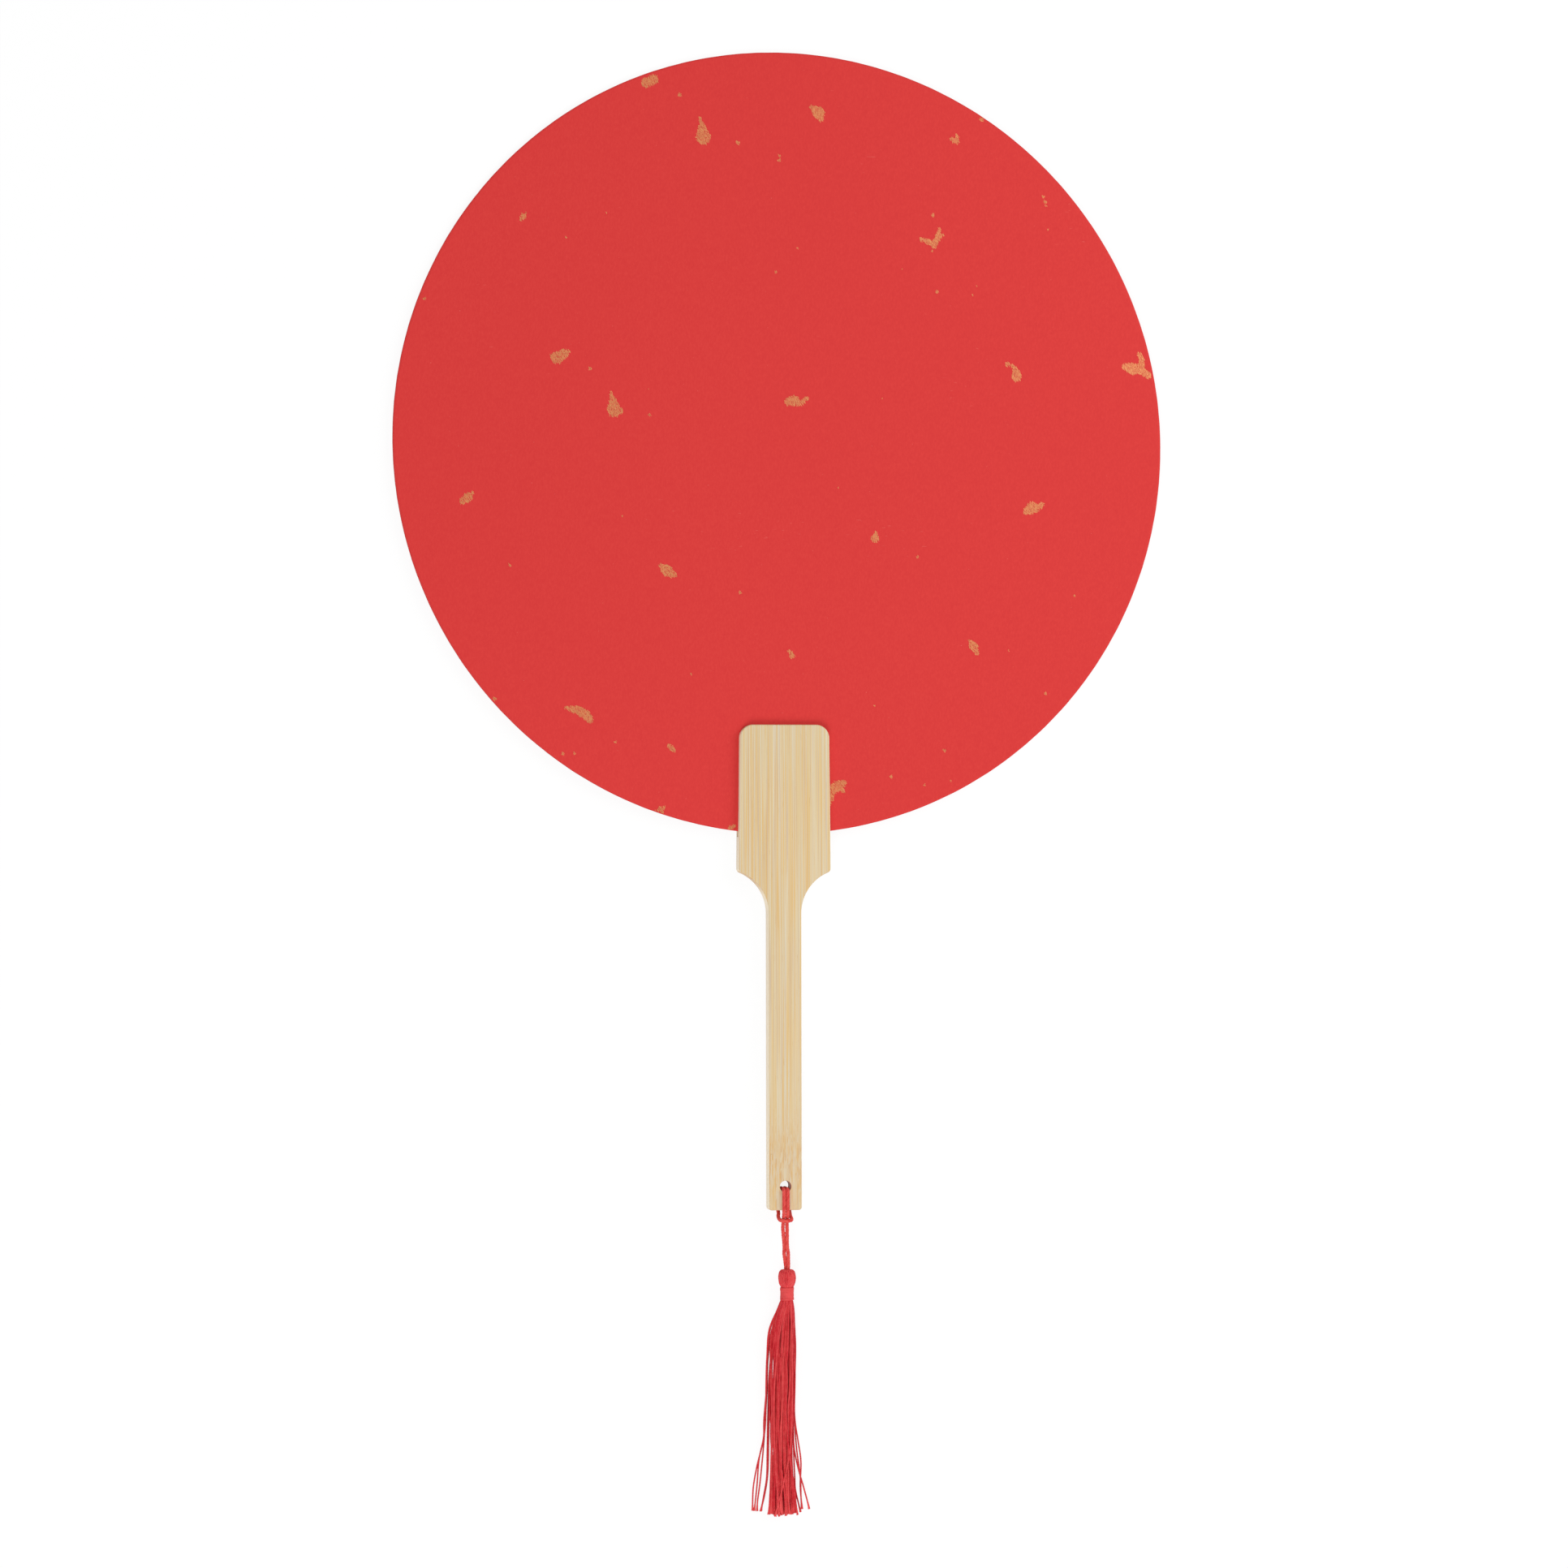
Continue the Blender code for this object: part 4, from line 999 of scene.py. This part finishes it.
def build_handle(finish):
    """The handle, rounded at its edges, then slotted and drilled by booleans that are applied."""
    side = handle_side()
    blank = add_prism("blank", side + [(-x, y) for x, y in reversed(side)], 0, HANDLE_THICKNESS)
    rounding = blank.modifiers.new("rounding", "BEVEL")
    rounding.width = EDGE_ROUNDING
    rounding.segments = 4
    rounding.limit_method = "ANGLE"
    rounding.angle_limit = radians(50)
    depth = DISC_IN_HANDLE + SLOT_END_GAP
    over = HEAD_BOTTOM_WIDTH
    corners = [(-over, -depth), (over, -depth), (over, HEAD_CORNER_RADIUS), (-over, HEAD_CORNER_RADIUS)]
    slot_bottom = DISC_MIDDLE - SLOT_THICKNESS / 2
    circle = arc(0, HOLE_Y, HOLE_DIAMETER / 2, 0, 360, 64)[:-1]
    cutters = [add_prism("slot", corners, slot_bottom, slot_bottom + SLOT_THICKNESS),
               add_prism("hole", circle, -HANDLE_THICKNESS, 2 * HANDLE_THICKNESS)]
    for cutter in cutters:
        boolean = blank.modifiers.new("cut", "BOOLEAN")
        boolean.operation = "DIFFERENCE"
        boolean.object = cutter
    bpy.context.view_layer.update()
    graph = bpy.context.evaluated_depsgraph_get()
    mesh = bpy.data.meshes.new_from_object(blank.evaluated_get(graph))
    for spent in [blank] + cutters:
        bpy.data.objects.remove(spent)
    mesh.shade_smooth()
    mesh.set_sharp_from_angle(angle=radians(32))
    dress(add_piece("handle_bamboo", mesh, finish, fan_lie()), "fan", "bamboo", "bamboo_handle")


def disc_sheet(name, node, slot, thickness, middle, finish):
    """One round sheet of the disc, its cut edge a little soft and not quite even."""
    soft = thickness * 0.25
    half = thickness / 2
    rings = [(-half, EDGE_BAND), (-half, soft), (soft - half, 0),
             (half - soft, 0), (half, soft), (half, EDGE_BAND)]
    verts = []
    for height, inset in rings:
        for number in range(DISC_SIDES):
            angle = tau * number / DISC_SIDES
            rough = EDGE_ROUGHNESS * noise.noise(Vector((cos(angle), sin(angle), height * 90)) * 40)
            reach = DISC_RADIUS - inset - EDGE_INSET + rough
            verts.append((reach * cos(angle), DISC_CENTRE_Y + reach * sin(angle), middle + height))
    mesh = Mesh()
    mesh.add(verts, tube_faces(len(rings), DISC_SIDES))
    dress(mesh.build(name, finish, fan_lie()), "fan", slot, node)


def build_disc(paper, card):
    offset = BOARD_THICKNESS / 2 + GLUE_LINE + PAPER_THICKNESS / 2
    disc_sheet("board_core", "face_board", "board", BOARD_THICKNESS + 1.6 * GLUE_LINE, DISC_MIDDLE, card)
    for face, middle in (("front", DISC_MIDDLE + offset), ("back", DISC_MIDDLE - offset)):
        disc_sheet(f"paper_{face}", f"face_paper_{face}", "red_paper", PAPER_THICKNESS, middle, paper)


def depth_in_beads(x, y, chains):
    """How deep a point lies inside a shape made of chains of beads; negative outside it."""
    deepest = -1e9
    for chain in chains:
        for (ax, ay, ar), (bx, by, br) in zip(chain, chain[1:]):
            span = (bx - ax) ** 2 + (by - ay) ** 2
            share = min(max(((x - ax) * (bx - ax) + (y - ay) * (by - ay)) / span, 0), 1)
            gap = hypot(x - ax - share * (bx - ax), y - ay - share * (by - ay))
            deepest = max(deepest, ar + (br - ar) * share - gap)
    return deepest


def leaf_stroke(x, y, heading, curl, length, width, height):
    """Points of one curved sliver of leaf, in rings of four; sizes in mm, height in metres."""
    verts = []
    angle = heading - curl / 2
    x -= cos(heading) * length / 2
    y -= sin(heading) * length / 2
    for step in range(STROKE_STEPS + 1):
        half = width / 2 * (0.35 + 0.65 * sin(pi * (0.12 + 0.76 * step / STROKE_STEPS)))
        for sign, level in ((1, -LEAF_THICKNESS), (-1, -LEAF_THICKNESS), (-1, 0), (1, 0)):
            verts.append(((x - sign * sin(angle) * half) * MM,
                          (y + sign * cos(angle) * half) * MM + DISC_CENTRE_Y, height + level))
        angle += curl / STROKE_STEPS
        x += cos(angle) * length / STROKE_STEPS
        y += sin(angle) * length / STROKE_STEPS
    return verts


def add_leaf(mesh, centre, chains, surface, seed, up=1, fine=1):
    """Fills a shape with slivers of leaf that curl in rows, frayed at the edge; centre in mm."""
    gap = STROKE_GAP * fine
    step = STROKE_ROW * fine
    chance = random.Random(seed)
    lean = radians(chance.uniform(105, 135))
    reach = max(hypot(x, y) + radius for chain in chains for x, y, radius in chain)
    rows = int(reach / step) + 1
    columns = int(reach / gap) + 1
    for row, column in product(range(-rows, rows + 1), range(-columns, columns + 1)):
        u = (column + 0.5 * (row % 2) + chance.uniform(-0.3, 0.3)) * gap
        v = (row + chance.uniform(-0.35, 0.35)) * step
        x = u * cos(lean) - v * sin(lean)
        y = u * sin(lean) + v * cos(lean)
        length = chance.uniform(*STROKE_LENGTHS) * fine
        width = chance.uniform(*STROKE_WIDTHS) * fine
        curl = chance.uniform(-1.3, 1.3)
        turn = lean + chance.gauss(0, 0.26)
        level = chance.uniform(0.4, 1) * LEAF_THICKNESS
        tone = chance.random()
        if depth_in_beads(x, y, chains) < chance.uniform(-0.12, 0.16):
            continue
        x += centre[0]
        y += centre[1]
        ends = [hypot(x + end * cos(turn), y + end * sin(turn)) for end in (-length / 2, length / 2)]
        if max(ends) > DISC_RADIUS / MM - 0.15:
            continue
        height = surface + up * (level + LEAF_THICKNESS * 0.5)
        verts = leaf_stroke(x, y, turn, curl, length, width, height)
        mesh.add(verts, tube_faces(STROKE_STEPS + 1, 4), tone=tone)


def build_leaf(finish):
    front = DISC_MIDDLE + LAMINATE / 2
    radius = DISC_RADIUS / MM
    for number, (x_share, y_share, chains) in enumerate(LEAF_SHAPES, start=1):
        mesh = Mesh()
        add_leaf(mesh, (x_share * radius, y_share * radius), chains, front, number)
        leaf = mesh.build(f"leaf_{number:02d}", finish, fan_lie())
        dress(leaf, "fan", "gold_leaf", f"gold_flake_{number:02d}")
    chance = random.Random(40)
    mesh = Mesh()
    for number, (x, y, size) in enumerate(FLECKS):
        tip = (chance.uniform(-0.4, 0.4) * size, chance.uniform(0.2, 0.5) * size, 0.12 * size)
        add_leaf(mesh, (x, y), [[(0, 0, 0.42 * size), tip]], front, 100 + number, fine=0.62)
    dress(mesh.build("leaf_flecks_front", finish, fan_lie()), "fan", "gold_leaf")
    mesh = Mesh()
    back = DISC_MIDDLE - LAMINATE / 2
    for number in range(BACK_FLAKES):
        reach = radius * sqrt(chance.uniform(0.02, 0.85))
        centre = (reach * cos(number * GOLDEN_TURN), reach * sin(number * GOLDEN_TURN))
        size = chance.uniform(0.7, 2.2)
        beads = ((-1.6, chance.uniform(-1, 1), 0.3), (0, 0, 0.9), (1.3, -0.4, 0.4))
        turn = chance.uniform(0, tau)
        chain = [((x * cos(turn) - y * sin(turn)) * size, (x * sin(turn) + y * cos(turn)) * size,
                  bead * size) for x, y, bead in beads]
        add_leaf(mesh, centre, [chain], back, 200 + number, up=-1)
    dress(mesh.build("leaf_flakes_back", finish, fan_lie()), "fan", "gold_leaf")


def build_set():
    """Floor, lamps and sky."""
    far = FLOOR_HALF_WIDTH
    mesh = bpy.data.meshes.new("floor")
    corners = [(-far, -far, 0), (far, -far, 0), (far, far, 0), (-far, far, 0)]
    mesh.from_pydata(corners, [], [(0, 1, 2, 3)])
    add_piece("floor", mesh, floor_white(), Matrix.Translation((0, 0, -FLOOR_DROP)))
    for name, (place, power) in LAMPS.items():
        lamp = bpy.data.lights.new(name, "AREA")
        lamp.shape = "DISK"
        lamp.size = LAMP_SIZE
        lamp.energy = power
        turned = (-Vector(place)).to_track_quat("-Z", "Y").to_matrix().to_4x4()
        add_object(name, lamp, Matrix.Translation(place) @ turned)
    world = bpy.data.worlds.new("studio")
    bpy.context.scene.world = world
    world.use_nodes = True
    sky = world.node_tree.nodes["Background"].inputs
    seen = add_node(world.node_tree, "LightPath", {})["Is Camera Ray"]
    light = add_node(world.node_tree, "MapRange", {"Value": seen, "To Min": SKY_LIGHT})["Result"]
    feed(sky["Color"], (1, 1, 1, 1))
    feed(sky["Strength"], light)


def build_camera(low, high):
    """The photograph's view: nearly straight down, from a little to the left, tassel at the bottom."""
    camera = bpy.data.cameras.new("camera")
    camera.lens = CAMERA_LENS
    away = (high.y - low.y) * CAMERA_MARGIN * camera.lens / camera.sensor_width
    turned = Matrix.Rotation(-CAMERA_LEAN, 4, "Y") @ Matrix.Translation((0, 0, away))
    middle = Matrix.Translation((low + high) / 2)
    bpy.context.scene.camera = add_object("camera", camera, middle @ turned)


def main():
    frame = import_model()
    cad_low, cad_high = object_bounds()
    joints = {joint["name"]: Vector(joint["pos_m"]) for joint in frame["joints"]}
    head = joints["tassel_lift"]
    build_camera(cad_low, cad_high)
    build_set()

    cord_finish = red_thread("red_cord", (212, 47, 49), (239, 99, 91), 0.66)
    thread_finish = red_thread("red_thread", (208, 28, 44), (238, 90, 90), 0.56)
    cord, ends, route, length = build_cord(joints["cord_sway"], head, cord_finish)
    ball, packing = build_ball(head, thread_finish)
    wrap = build_wrap(head, thread_finish)
    build_skirt(head, thread_finish)

    build_handle(bamboo())
    build_disc(red_paper(), board_edge())
    build_leaf(gold_leaf())


bpy.context.scene.view_settings.view_transform = "Standard"
main()
